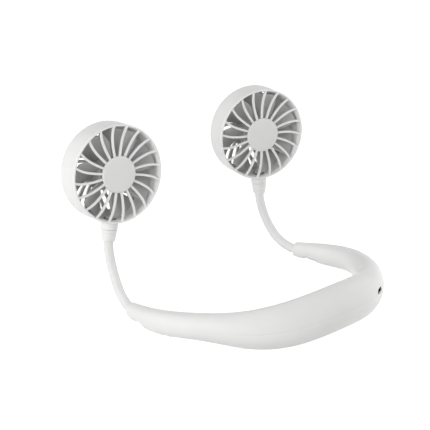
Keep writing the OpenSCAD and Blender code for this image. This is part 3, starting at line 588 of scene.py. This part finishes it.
def swept_bar(r_in, r_out, w_in, w_out, start, sweep, power, low, high, steps):
    """Flat bar that sweeps clockwise on its way out: a strip drawn out step by step."""
    obj = first_point()
    outline = []
    for way in (-1, 1):
        edge = []
        for k in range(steps + 1):
            s = k / steps
            r = r_in + (r_out - r_in) * s
            half = (w_in + (w_out - w_in) * s) / 2 / r
            a = math.radians(start - sweep * s ** power) + way * half
            edge.append(Vector((r * math.cos(a), r * math.sin(a), low)))
        outline += edge if way < 0 else edge[::-1]
    bpy.ops.transform.translate(value=outline[0])
    for here, there in zip(outline, outline[1:]):
        draw_out(there - here)
    bpy.ops.mesh.select_all(action="SELECT")
    bpy.ops.mesh.edge_face_add()
    draw_out((0, 0, high - low))
    end_edit()
    return face_out(obj)


def finish_piece(obj, name, material, body, replaces, flats=False):
    """Names and dresses a piece. flats keeps wide flat faces from being shaded by small ones."""
    obj.name = name
    obj.data.name = name
    only(obj)
    bpy.ops.object.shade_smooth_by_angle(angle=math.radians(SHARP_ANGLE))
    if flats:
        modify(obj, "WEIGHTED_NORMAL", keep_sharp=True)
    obj.data.materials.clear()
    obj.data.materials.append(material)
    if body:
        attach(obj, body)
    if replaces:
        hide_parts(*replaces)
    return obj


# Looks
def linear(hex_colour):
    """An sRGB hex colour as the linear colour that the shader takes."""
    parts = [int(hex_colour[k:k + 2], 16) / 255 for k in (1, 3, 5)]
    return [c / 12.92 if c <= 0.04045 else ((c + 0.055) / 1.055) ** 2.4 for c in parts] + [1]


def add_node(tree, kind, links=None, **settings):
    """Adds a node. settings are its properties or inputs by name, and links its inputs' sources."""
    node = tree.nodes.new(kind)
    for key, value in settings.items():
        if hasattr(node, key):
            setattr(node, key, value)
        else:
            node.inputs[key.replace("_", " ")].default_value = value
    for key, source in (links or {}).items():
        tree.links.new(source, node.inputs[key])
    return node


def background_rays(tree):
    """1 for the rays that see the background: the camera's, mirrored and passing ones."""
    rays = add_node(tree, "ShaderNodeLightPath")
    mirrored = add_node(tree, "ShaderNodeMath", {0: rays.outputs["Is Camera Ray"],
                                                 1: rays.outputs["Is Glossy Ray"]},
                        operation="MAXIMUM")
    passing = add_node(tree, "ShaderNodeMath", {0: mirrored.outputs[0],
                                                1: rays.outputs["Is Transmission Ray"]},
                       operation="MAXIMUM")
    return passing.outputs[0]


def new_material(name):
    material = bpy.data.materials.new(name)
    material.use_nodes = True
    material.node_tree.nodes.clear()
    return material, material.node_tree


def moulded(name, colour, roughness, grain, depth, ior=1.5, tint=0.03, subsurface=0.0):
    """A moulded surface. grain is the size of its texture in metres, depth its height, and tint
    how far the colour drifts, from one end of the piece to the other and back."""
    material, tree = new_material(name)
    where = add_node(tree, "ShaderNodeTexCoord").outputs["Object"]
    drift = add_node(tree, "ShaderNodeTexNoise", {"Vector": where},
                     Scale=1 / DRIFT_SIZE, Detail=2.0)
    shade = add_node(tree, "ShaderNodeValToRGB", {"Fac": drift.outputs["Fac"]})
    base = linear(colour)
    deeper = [c * (1 - tint) for c in base[:3]] + [1]
    for stop, position, shown in zip(shade.color_ramp.elements, DRIFT_ENDS, (deeper, base)):
        stop.position = position
        stop.color = shown
    texture = add_node(tree, "ShaderNodeTexNoise", {"Vector": where},
                       Scale=1 / grain, Detail=3.0, Roughness=0.6)
    sheen = add_node(tree, "ShaderNodeMapRange", {"Value": texture.outputs["Fac"]},
                     To_Min=roughness * (1 - SHEEN_SPREAD), To_Max=roughness * (1 + SHEEN_SPREAD))
    bump = add_node(tree, "ShaderNodeBump", {"Height": texture.outputs["Fac"]},
                    Strength=1.0, Distance=depth)
    shader = add_node(tree, "ShaderNodeBsdfPrincipled", {
        "Base Color": shade.outputs["Color"], "Roughness": sheen.outputs["Result"],
        "Normal": bump.outputs["Normal"]}, IOR=ior)
    if subsurface:
        shader.inputs["Subsurface Weight"].default_value = subsurface
        shader.inputs["Subsurface Radius"].default_value = SCATTER_COLOUR
        shader.inputs["Subsurface Scale"].default_value = SCATTER_DEPTH
    add_node(tree, "ShaderNodeOutputMaterial", {"Surface": shader.outputs["BSDF"]})
    return material


def worked_metal(name, colour, roughness, stretch):
    """A bare metal whose tool or drawing marks run round or along it, as stretch says."""
    material, tree = new_material(name)
    where = add_node(tree, "ShaderNodeTexCoord").outputs["Object"]
    marks_place = add_node(tree, "ShaderNodeMapping", {"Vector": where}, Scale=stretch)
    marks = add_node(tree, "ShaderNodeTexNoise", {"Vector": marks_place.outputs["Vector"]},
                     Scale=1 / MARK_WIDTH, Detail=4.0)
    worn = add_node(tree, "ShaderNodeMapRange", {"Value": marks.outputs["Fac"]},
                    To_Min=roughness * (1 - WEAR_SPREAD), To_Max=roughness * (1 + WEAR_SPREAD))
    bump = add_node(tree, "ShaderNodeBump", {"Height": marks.outputs["Fac"]},
                    Strength=1.0, Distance=MARK_DEPTH)
    shader = add_node(tree, "ShaderNodeBsdfPrincipled", {
        "Roughness": worn.outputs["Result"], "Normal": bump.outputs["Normal"]},
        Base_Color=linear(colour), Metallic=1.0)
    add_node(tree, "ShaderNodeOutputMaterial", {"Surface": shader.outputs["BSDF"]})
    return material


# Satin moulded ABS of the band, drums and collars: a smooth white with soft highlights
WHITE_ABS = moulded("white_moulded_abs", "#F1F1F0", 0.34, 0.9 * MM, 0.0015 * MM, ior=1.42)
# The grille is a finer-textured, softer white than the drum, painted a little brighter as painted
# light for the light that its rounded ribs catch
GRILLE_ABS_PAINTED_LIGHT = moulded("grille_abs_painted_brighter", "#F6F6F5", 0.38, 0.7 * MM, 0.002 * MM, ior=1.42)
# Hub caps and power buttons are moulded in a pale grey with a fine spark-eroded matt surface
GREY_ABS = moulded("pale_grey_matt_abs", "#ECECEB", 0.48, 0.35 * MM, 0.004 * MM, ior=1.42)
# Impellers are plain unpolished polypropylene, a little translucent at the blade edges; their white
# is painted mid-grey as painted shade for the shade inside the drum
BLADE_PP_PAINTED_SHADE = moulded("impeller_polypropylene_painted_shade", "#B8B8B8", 0.42, 0.8 * MM, 0.003 * MM, ior=1.49,
                   subsurface=0.15)
# Silicone rubber has a dry, soft look with almost no highlight
SILICONE = moulded("sleeve_silicone_rubber", "#F0F0EF", 0.58, 0.5 * MM, 0.004 * MM, ior=1.41,
                   subsurface=0.2)
# Heat-shrink film round the cell, slightly wavy and glossy
SHRINK_FILM = moulded("cell_shrink_film", "#2F5596", 0.3, 2.0 * MM, 0.02 * MM, tint=0.15)
# Glass-fibre laminate under green solder mask: the weave shows as a fine mottle
LAMINATE = moulded("board_solder_mask", "#17603A", 0.35, 0.4 * MM, 0.006 * MM, tint=0.2)
# Black liquid-crystal polymer of the socket's tongue
BLACK_LCP = moulded("socket_tongue_black_polymer", "#161616", 0.5, 0.3 * MM, 0.003 * MM)
# Cold-drawn steel of the motor's can, rotor and shaft, with fine marks round it
DRAWN_STEEL = worked_metal("drawn_steel_can", "#B9BBBE", 0.32, (0.1, 0.1, 1))
# Spring steel of the gooseneck and clips, darker and oily
SPRING_STEEL = worked_metal("oiled_spring_steel", "#8E9092", 0.38, (1, 1, 0.1))
# Nickel-plated screws: bright, with the finest marks
NICKEL = worked_metal("nickel_plated_screw_steel", "#C4C1B8", 0.22, (1, 1, 1))
# Stamped steel shell of the charging socket, painted near black as painted shade for the dark
# inside the port: it reads as a black slot
SOCKET_STEEL_PAINTED_SHADE = worked_metal("socket_steel_painted_shade", "#2A2A2C", 0.4, (1, 0.1, 1))


# Neck band shells
def band_stations():
    """Where the rings of the band's skin are, from tip to tip, and how far each is drawn in."""
    round_share = TIP_ROUND / heading_rate(1).length
    fine_from = GRIP_SHARE - 2 * GRIP_REACH_SHARE
    fine_share = 1 - round_share - fine_from
    right = [(fine_from * k / LENGTH_STEPS, 0) for k in range(LENGTH_STEPS)]
    right += [(fine_from + fine_share * k / GRIP_STEPS, 0) for k in range(GRIP_STEPS)]
    for k in range(TIP_STEPS + 1):
        a = math.radians(90 / TIP_STEPS * k)
        right.append((1 - round_share * (1 - math.sin(a)), TIP_ROUND * (1 - math.cos(a))))
    return [(-t, inset) for t, inset in right[:0:-1]] + right


def band_skin():
    """The band's whole outside, with each half as a vertex group. They meet at the seam, at the
    middle of each section. Each tip's end face has the sleeve's hole in it."""
    outline = ring_outline(BAND_SIDES)
    points = outline.data.vertices
    upper = outline.vertex_groups.new(name="upper")
    upper.add([v.index for v in points if v.co.y > -SEAM_SLACK], 1, "ADD")
    lower = outline.vertex_groups.new(name="lower")
    lower.add([v.index for v in points if v.co.y < SEAM_SLACK], 1, "ADD")
    places = []
    for t, inset in band_stations():
        scale = Matrix.Diagonal((half_thickness(t) - inset, half_height(t) - inset, 1, 1))
        places.append(section(t) @ turn(-90, "Z") @ turn(90, "X") @ scale)
    skin = loft(outline, places)
    bpy.data.objects.remove(outline)
    mouth = SLEEVE_D / 2 + SLEEVE_FIT
    wide = mouth / (TIP_THICKNESS / 2 - TIP_ROUND)
    high = mouth / (TIP_HEIGHT / 2 - TIP_ROUND)
    for side in (LEFT, RIGHT):
        tip = band_point(side)
        start_edit(skin, "DESELECT")
        end_edit()
        for vertex in skin.data.vertices:
            off = (section(side).inverted() @ vertex.co).x
            vertex.select = abs(off) < TIP_PICK and (vertex.co - tip).length < NAPE_HEIGHT / 2
        edit_picked(skin)
        bpy.ops.mesh.extrude_region_move()
        bpy.ops.transform.resize(value=(wide, wide, high), center_override=tip)
        end_edit()
    return face_out(skin)


def half_shell(skin, group):
    """One half of the band's skin, given its wall."""
    shell = twin(skin)
    keep = shell.vertex_groups[group].index
    start_edit(shell, "DESELECT")
    bpy.ops.mesh.select_mode(type="FACE")
    end_edit()
    for face in shell.data.polygons:
        corners = [shell.data.vertices[k] for k in face.vertices]
        face.select = not all(keep in [g.group for g in v.groups] for v in corners)
    edit_picked(shell)
    bpy.ops.mesh.delete(type="FACE")
    bpy.ops.mesh.select_mode(type="VERT")
    bpy.ops.mesh.select_all(action="SELECT")
    bpy.ops.mesh.remove_doubles(threshold=MERGE_DISTANCE)
    end_edit()
    return thicken(shell, SHELL_SKIN)


skin = band_skin()
upper_shell = half_shell(skin, "upper")
port = slot_block(SOCKET_W + 2 * PORT_GAP, SOCKET_H + 2 * PORT_GAP, -PORT_CUT, PORT_CUT)
combine(upper_shell, [place(port, port_frame())], "DIFFERENCE")
soften(upper_shell, SHELL_ROUND)
finish_piece(upper_shell, "upper_band_shell", WHITE_ABS, "band",
             ["band_upper_shell"])

# The lower shell has the screws' posts and wells, the buttons' windows and a flat foot
lower_shell = half_shell(skin, "lower")
bpy.data.objects.remove(skin)
posts = []
wells = []
for t in SCREW_SHARES:
    parting = parting_level(t)
    low = -half_height(t)
    posts.append(place(rod(POST_R, low + POST_BED, parting - POST_GAP), section(t)))
    wells.append(place(rod(WELL_R, low - WELL_OVERRUN, parting - POST_SEAT), section(t)))
combine(lower_shell, posts, "UNION")
combine(lower_shell, wells, "DIFFERENCE")
windows = []
for side in (LEFT, RIGHT):
    window = slot_block(BUTTON_LENGTH + 2 * BUTTON_GAP, BUTTON_W + 2 * BUTTON_GAP,
                        -WINDOW_OUT, WINDOW_IN)
    windows.append(place(window, button_frame(side)))
combine(lower_shell, windows, "DIFFERENCE")
wide = (-2 * BAND_DEPTH, 2 * BAND_DEPTH)
combine(lower_shell, [block(wide, wide, (-BAND_DEPTH, 0))], "DIFFERENCE")
soften(lower_shell, SHELL_ROUND)
finish_piece(lower_shell, "lower_band_shell", WHITE_ABS, "band",
             ["band_lower_shell"])

# Power buttons, rounded along their edge
for name, side in SIDES.items():
    button = slot_block(BUTTON_LENGTH, BUTTON_W, -BUTTON_PROUD, BUTTON_DEPTH)
    soften(button, BUTTON_ROUND, segments=3)
    place(button, button_frame(side))
    finish_piece(button, name + "_button_cap", GREY_ABS, name + "_button",
                 [name + "_power_button"])

# Charging socket: a stamped shell and its tongue
shell = slot_block(SOCKET_W, SOCKET_H, PORT_RECESS, PORT_RECESS + SOCKET_DEPTH)
inside = slot_block(SOCKET_W - 2 * SOCKET_WALL, SOCKET_H - 2 * SOCKET_WALL, 0, SOCKET_DEPTH)
combine(shell, [inside], "DIFFERENCE")
soften(shell, SOCKET_ROUND)
place(shell, port_frame())
finish_piece(shell, "socket_shell", SOCKET_STEEL_PAINTED_SHADE, "band", ["charging_socket"])
tongue = block((-TONGUE_HALF_W, TONGUE_HALF_W), (-TONGUE_HALF_T, TONGUE_HALF_T),
               (PORT_RECESS + TONGUE_BACK, SOCKET_DEPTH))
soften(tongue, TONGUE_ROUND)
place(tongue, port_frame())
finish_piece(tongue, "socket_tongue", BLACK_LCP, "band", ["charging_socket"])


# Silicone sleeves, each in three lengths, one for each joint of the core
def sleeve_frames(side):
    """Frames of the rings along a sleeve."""
    frames = [root_frame(side) @ move(z=-SLEEVE_IN)]
    frames += [root_frame(side) @ along_arc(ARM_LOW_R, LOW_ANGLE * k / LOW_STEPS)
               for k in range(LOW_STEPS + 1)]
    frames += [high_frame(side) @ along_arc(ARM_HIGH_R, HIGH_ANGLE * k / HIGH_STEPS)
               for k in range(1, HIGH_STEPS + 1)]
    frames += [bend_frame(side) @ along_arc(NECK_BEND_R, LEAN[side] * k / LEAN_STEPS)
               @ turn(-LEAN_WAY[side], "Z") for k in range(1, LEAN_STEPS + 1)]
    frames.append(neck_frame(side) @ move(z=SLEEVE_IN - SLEEVE_END_GAP))
    return frames


for name, side in SIDES.items():
    frames = sleeve_frames(side)
    outline = ring_outline(SLEEVE_SIDES)
    lengths = {"root": (0, FIRST_CUT), "middle": (FIRST_CUT, SECOND_CUT),
               "top": (SECOND_CUT, len(frames) - 1)}
    scale = Matrix.Diagonal((SLEEVE_D / 2, SLEEVE_D / 2, 1, 1))
    for length, (first, last) in lengths.items():
        tube = loft(outline, [f @ scale for f in frames[first:last + 1]])
        thicken(tube, SLEEVE_WALL)
        finish_piece(tube, name + "_sleeve_" + length, SILICONE, None,
                     [name + "_arm_sleeve"])
        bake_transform(tube)
    bpy.data.objects.remove(outline)


# Collars and heads
def make_collar():
    """Collar with its fine line, and the spigot that the head turns on."""
    low = COLLAR_LOW_D / 2
    top = COLLAR_TOP_D / 2
    line = COLLAR_H - COLLAR_LINE_DOWN
    side = low + (top - low) * line / COLLAR_H
    bore = SLEEVE_D / 2 + SLEEVE_FIT
    end = COLLAR_H + SPIGOT_H
    profile = [(bore, SLEEVE_IN), (bore, 0), (low - COLLAR_EDGE, 0)]
    profile += arc(low - COLLAR_EDGE, COLLAR_EDGE, COLLAR_EDGE, -90, 0, steps=5)
    profile += [(side, line - COLLAR_LINE), (side - COLLAR_LINE, line - COLLAR_LINE),
                (side - COLLAR_LINE, line), (side + COLLAR_LINE / 3, line), (top, COLLAR_H),
                (SPIGOT_D / 2, COLLAR_H), (SPIGOT_D / 2, end), (WIRE_BORE_R, end),
                (WIRE_BORE_R, SLEEVE_IN), (bore, SLEEVE_IN)]
    return soften(spun(profile, steps=96), COLLAR_ROUND)


def make_drum():
    """Drum with its rounded rear edge, swept rear slots and the motor screws' wells."""
    inner = HEAD_R - HEAD_WALL
    front = RIM_FRONT - RIM_DEPTH - RING_GAP
    centre = (HEAD_R - HEAD_ROUND, BACK + HEAD_ROUND)
    profile = [(0, BACK)] + arc(*centre, HEAD_ROUND, -90, 0, steps=12)
    profile += [(HEAD_R, front), (inner, front)]
    profile += arc(*centre, HEAD_ROUND - HEAD_WALL, 0, -90, steps=10)
    profile += [(0, FLOOR)]
    drum = spun(profile, steps=160)
    r_in = REAR_DISC_R
    r_out = HEAD_R - REAR_RIM
    pitch = 360 / REAR_SLOTS
    wide = math.radians(pitch * REAR_OPEN)
    slots = []
    for k in range(REAR_SLOTS):
        slot = swept_bar(r_in, r_out, r_in * wide, r_out * wide, start=0, sweep=-REAR_SWEEP,
                         power=1, low=BACK - OVERRUN, high=FLOOR + OVERRUN, steps=10)
        slots.append(place(slot, turn(k * pitch, "Z")))
    combine(drum, slots, "DIFFERENCE")
    screw_wells = [place(rod(WELL_R, BACK - OVERRUN, BACK + MOTOR_WELL_DEPTH), move(x=x))
                   for x in MOTOR_SCREW_XS]
    combine(drum, screw_wells, "DIFFERENCE")
    return soften(drum, DRUM_ROUND)


def make_stub():
    """Neck stub under the drum, with the bore that turns on the spigot."""
    top = HEAD_R - HEAD_WALL + STUB_BED
    low = NECK_LENGTH - COLLAR_H - STUB_GAP
    stub = rod(STUB_D / 2, top, low, vertices=96)
    bore = rod(SPIGOT_D / 2 + SPIGOT_FIT, top - OVERRUN, low + OVERRUN, vertices=64)
    combine(stub, [bore], "DIFFERENCE")
    soften(stub, STUB_ROUND, segments=3)
    return place(stub, turn(90, "X"))


def make_motor_socket():
    """Ring on the drum's floor that holds the motor."""
    high = FLOOR + MOTOR_SOCKET_H
    socket = rod(MOTOR_R + MOTOR_SOCKET_WALL, BACK + HEAD_WALL / 2, high, vertices=96)
    bore = rod(MOTOR_R + MOTOR_FIT, BACK, high + OVERRUN, vertices=96)
    return combine(socket, [bore], "DIFFERENCE")


def make_grille():
    """Rim ring with its skirt and sloped inner wall, hub plate and swept ribs."""
    rim_in = HEAD_R - RIM_W
    rim_back = RIM_FRONT - RIM_DEPTH
    skirt_out = HEAD_R - HEAD_WALL - RING_GAP
    skirt_back = rim_back - SKIRT_H
    profile = [(rim_in, RIM_FRONT), (skirt_out - SKIRT_T, skirt_back), (skirt_out, skirt_back),
               (skirt_out, rim_back), (HEAD_R, rim_back), (HEAD_R, RIM_FRONT - RIM_EDGE)]
    profile += arc(HEAD_R - RIM_EDGE, RIM_FRONT - RIM_EDGE, RIM_EDGE, 0, 90, steps=6)[1:]
    profile.append((rim_in, RIM_FRONT))
    ring = soften(spun(profile, steps=160), RIM_ROUND)
    rib_back = GRILLE_FRONT - RIB_T
    plate = soften(rod(PLATE_R, rib_back, GRILLE_FRONT, vertices=96), PLATE_ROUND)
    rib = swept_bar(PLATE_R - RIB_W, rim_in + RIB_BED, RIB_W, RIB_W, start=RIB_START,
                    sweep=RIB_SWEEP, power=RIB_POWER, low=rib_back, high=GRILLE_FRONT, steps=16)
    soften(rib, RIB_ROUND, segments=4)
    return joined([ring, plate, rib] + turned_twins(rib, RIB_COUNT))


def make_hub_cap():
    """Faintly crowned cap with a pin behind it."""
    front = RIM_FRONT + HUB_PROUD
    back = GRILLE_FRONT + RING_GAP / 2
    profile = [(0, back - PIN_LENGTH), (PIN_R, back - PIN_LENGTH), (PIN_R, back),
               (HUB_R - HUB_BACK_EDGE, back), (HUB_R, back + HUB_BACK_EDGE)]
    profile += arc(HUB_R - HUB_EDGE, front - HUB_EDGE - HUB_CROWN, HUB_EDGE, 0, HUB_EDGE_TURN,
                   steps=8)
    profile += [(HUB_R * HUB_MIDWAY, front - HUB_MIDWAY_FALL), (0, front)]
    return spun(profile, steps=128)


def between(pair, s):
    return pair[0] * (1 - s) + pair[1] * s


def make_impeller():
    """Cup over the motor, and blades that start as flat sheets and are swept and pitched."""
    cup_r = CUP_IN_R + CUP_WALL
    face_back = CUP_FRONT - CUP_FACE
    profile = [(0, CUP_FRONT), (0, face_back), (CUP_IN_R, face_back), (CUP_IN_R, CUP_BACK),
               (cup_r, CUP_BACK), (cup_r, CUP_FRONT - CUP_WALL)]
    profile += arc(cup_r - CUP_WALL, CUP_FRONT - CUP_WALL, CUP_WALL, 0, 90, steps=6)[1:]
    profile.append((0, CUP_FRONT))
    cup = spun(profile, steps=96)
    bpy.ops.mesh.primitive_grid_add(x_subdivisions=14, y_subdivisions=12, size=1)
    blade = bpy.context.object
    root_r = CUP_IN_R + CUP_WALL / 2
    # s runs from the blade's root to its tip, and c from its front edge to its rear edge
    for vertex in blade.data.vertices:
        s = vertex.co.x + 0.5
        c = vertex.co.y + 0.5
        r = root_r + (BLADE_TIP_R - root_r) * s
        front = RIM_FRONT * between(BLADE_FRONT_SHARES, s)
        back = BACK * between(BLADE_BACK_SHARES, s)
        chord = between(BLADE_CHORDS, s) * (c + BLADE_CURL * c * (1 - c))
        a = math.radians(BLADE_SWEEP * s * s + chord)
        vertex.co = (r * math.cos(a), r * math.sin(a), front + (back - front) * c)
    face_out(blade)
    thicken(blade, BLADE_T, offset=0)
    soften(blade, BLADE_ROUND, segments=3)
    return joined([cup, blade] + turned_twins(blade, BLADE_COUNT))


def make_motor():
    """Can with a boss at its front, and the shaft's bore."""
    back = FLOOR + RING_GAP
    front = back + MOTOR_H
    profile = [(0, back)]
    profile += arc(MOTOR_R - MOTOR_BACK_ROUND, back + MOTOR_BACK_ROUND, MOTOR_BACK_ROUND, -90, 0,
                   steps=5)
    profile += arc(MOTOR_R - MOTOR_FRONT_ROUND, front - MOTOR_FRONT_ROUND, MOTOR_FRONT_ROUND, 0,
                   90, steps=6)
    profile += [(BOSS_R, front), (BOSS_R, front + BOSS_H), (SHAFT_BORE_R, front + BOSS_H),
                (SHAFT_BORE_R, back + SHAFT_BORE_FLOOR), (0, back + SHAFT_BORE_FLOOR)]
    return soften(spun(profile, steps=96), MOTOR_ROUND)


def make_screw(head_r, head_h, length):
    """Pan-head screw from its head's seat: the head is below z = 0 and the shank above it."""
    flat = head_r * FLAT_SHARE
    brim = -head_h * BRIM_SHARE
    profile = [(0, -head_h), (flat, -head_h)]
    profile += arc(flat, brim, head_r - flat, -BRIM_TURN, 0, steps=5)
    profile += [(head_r, 0), (SCREW_SHANK_R, 0), (SCREW_SHANK_R, length - SCREW_SHANK_R),
                (0, length)]
    screw = spun(profile, steps=40)
    along = head_r * CROSS_LENGTH_SHARE
    across = head_r * CROSS_WIDTH_SHARE
    for x, y in ((along, across), (across, along)):
        groove = block((-x, x), (-y, y), (-head_h - OVERRUN, brim))
        combine(screw, [groove], "DIFFERENCE")
    return screw


# Pieces of a head: the model, what follows the side in the piece's name, the material and its
# slot, the body, the node that it replaces, and whether its flat faces are kept flat
HEAD_PIECES = [
    (make_drum(), "drum", WHITE_ABS, "shell_plastic", "head", "housing", True),
    (make_stub(), "neck_stub", WHITE_ABS, "shell_plastic", "head", "housing", False),
    (make_motor_socket(), "motor_socket", WHITE_ABS, "shell_plastic", "head", "housing", False),
    (make_grille(), "grille", GRILLE_ABS_PAINTED_LIGHT, "grille_plastic", "head", "front_grille", True),
    (make_hub_cap(), "cap", GREY_ABS, "grey_plastic", "head", "hub_cap", False),
    (make_impeller(), "fan_wheel", BLADE_PP_PAINTED_SHADE, "blade_plastic", "impeller", "impeller", False),
    (make_motor(), "motor_can", DRAWN_STEEL, "motor_can", "head", "motor", False)]
collar = make_collar()
motor_screw = make_screw(MOTOR_SCREW_HEAD_R, MOTOR_SCREW_HEAD_H, MOTOR_SCREW_LENGTH)
for name, side in SIDES.items():
    head = head_frame(side)
    for model, piece, material, slot, body, node, flats in HEAD_PIECES:
        finish_piece(twin(model, head), name + "_" + piece, material, name + "_" + body,
                     [name + "_" + node], flats)
    screws = [twin(motor_screw, head @ move(x=x, z=BACK + MOTOR_WELL_DEPTH))
              for x in MOTOR_SCREW_XS]
    finish_piece(joined(screws), name + "_motor_screw_pair", NICKEL,
                 name + "_head", [name + "_motor_screws"])
    finish_piece(twin(collar, neck_frame(side)), name + "_neck_collar", WHITE_ABS,
                 name + "_arm_upper", [name + "_collar"])
for model in [row[0] for row in HEAD_PIECES] + [collar, motor_screw]:
    bpy.data.objects.remove(model)

# Screws that join the shells, from below
shell_screw = make_screw(SCREW_HEAD_R, SCREW_HEAD_H, SCREW_LENGTH)
screws = [twin(shell_screw, section(t) @ move(z=parting_level(t) - POST_SEAT))
          for t in SCREW_SHARES]
bpy.data.objects.remove(shell_screw)
finish_piece(joined(screws), "band_screw_set", NICKEL, "band",
             ["shell_screws"])

# Sealed or nearly hidden nodes keep their solids and get their finish
CAD_FINISHES = {"battery": SHRINK_FILM, "circuit_board": LAMINATE, "switch": LAMINATE,
                "arm_anchor": SPRING_STEEL, "core_lower": SPRING_STEEL,
                "core_middle": SPRING_STEEL, "core_upper": SPRING_STEEL,
                "swivel_clip": SPRING_STEEL, "motor_shaft": DRAWN_STEEL,
                "motor_rotor": DRAWN_STEEL}
for node_name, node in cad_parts.items():
    for ending, material in CAD_FINISHES.items():
        if node_name.endswith(ending):
            node.data.materials.clear()
            node.data.materials.append(material)

# Camera
right_way = Vector((math.cos(CAMERA_TURN), math.sin(CAMERA_TURN), 0))
back_way = Vector((math.sin(CAMERA_TURN) * math.cos(CAMERA_HEIGHT),
                   -math.cos(CAMERA_TURN) * math.cos(CAMERA_HEIGHT),
                   math.sin(CAMERA_HEIGHT)))
up_way = back_way.cross(right_way)
eye = CAMERA_AIM + back_way * CAMERA_FAR - right_way * FRAME_RIGHT - up_way * FRAME_UP
bpy.ops.object.camera_add()
camera = bpy.context.object
camera.data.lens = LENS
camera.data.sensor_width = SENSOR
camera.data.clip_start = CAMERA_NEAR_CLIP
camera.matrix_world = Matrix.Translation(eye) @ Matrix(
    (right_way, up_way, back_way)).transposed().to_4x4()
bpy.context.scene.camera = camera
bpy.context.scene.view_settings.view_transform = "Standard"

# Pale floor under the fan, which glows white where the background is seen
bpy.ops.mesh.primitive_plane_add(size=FLOOR_SIZE)
floor = bpy.context.object
floor.name = "studio_floor"
floor_material, tree = new_material("pale_studio_floor")
paint = add_node(tree, "ShaderNodeBsdfDiffuse",
                 Color=(FLOOR_PAINT, FLOOR_PAINT, FLOOR_PAINT, 1))
glow = add_node(tree, "ShaderNodeEmission", Color=(1, 1, 1, 1), Strength=FLOOR_GLOW)
lit = add_node(tree, "ShaderNodeAddShader", {0: paint.outputs["BSDF"],
                                             1: glow.outputs["Emission"]})
seen = add_node(tree, "ShaderNodeMixShader", {0: background_rays(tree),
                                              1: paint.outputs["BSDF"],
                                              2: lit.outputs["Shader"]})
add_node(tree, "ShaderNodeOutputMaterial", {"Surface": seen.outputs["Shader"]})
floor.data.materials.append(floor_material)

# White room, dimmer as light than as background
world = bpy.data.worlds.new("white_room")
bpy.context.scene.world = world
world.use_nodes = True
tree = world.node_tree
tree.nodes.clear()
strength = add_node(tree, "ShaderNodeMapRange", {"Value": background_rays(tree)},
                    To_Min=ROOM_LIGHT, To_Max=ROOM_SEEN)
sky = add_node(tree, "ShaderNodeBackground", {"Strength": strength.outputs["Result"]},
               Color=(1, 1, 1, 1))
add_node(tree, "ShaderNodeOutputWorld", {"Surface": sky.outputs["Background"]})

# Square soft lamps that look at the fan. The gloss shows only the white room
for name, (spot, power) in LAMPS.items():
    bpy.ops.object.light_add(type="AREA", location=spot)
    lamp = bpy.context.object
    lamp.name = name
    lamp.data.size = LAMP_SIZE
    lamp.data.energy = power
    lamp.visible_glossy = False
    lamp.rotation_euler = (Vector(spot) - LAMP_AIM).to_track_quat("Z", "Y").to_euler()
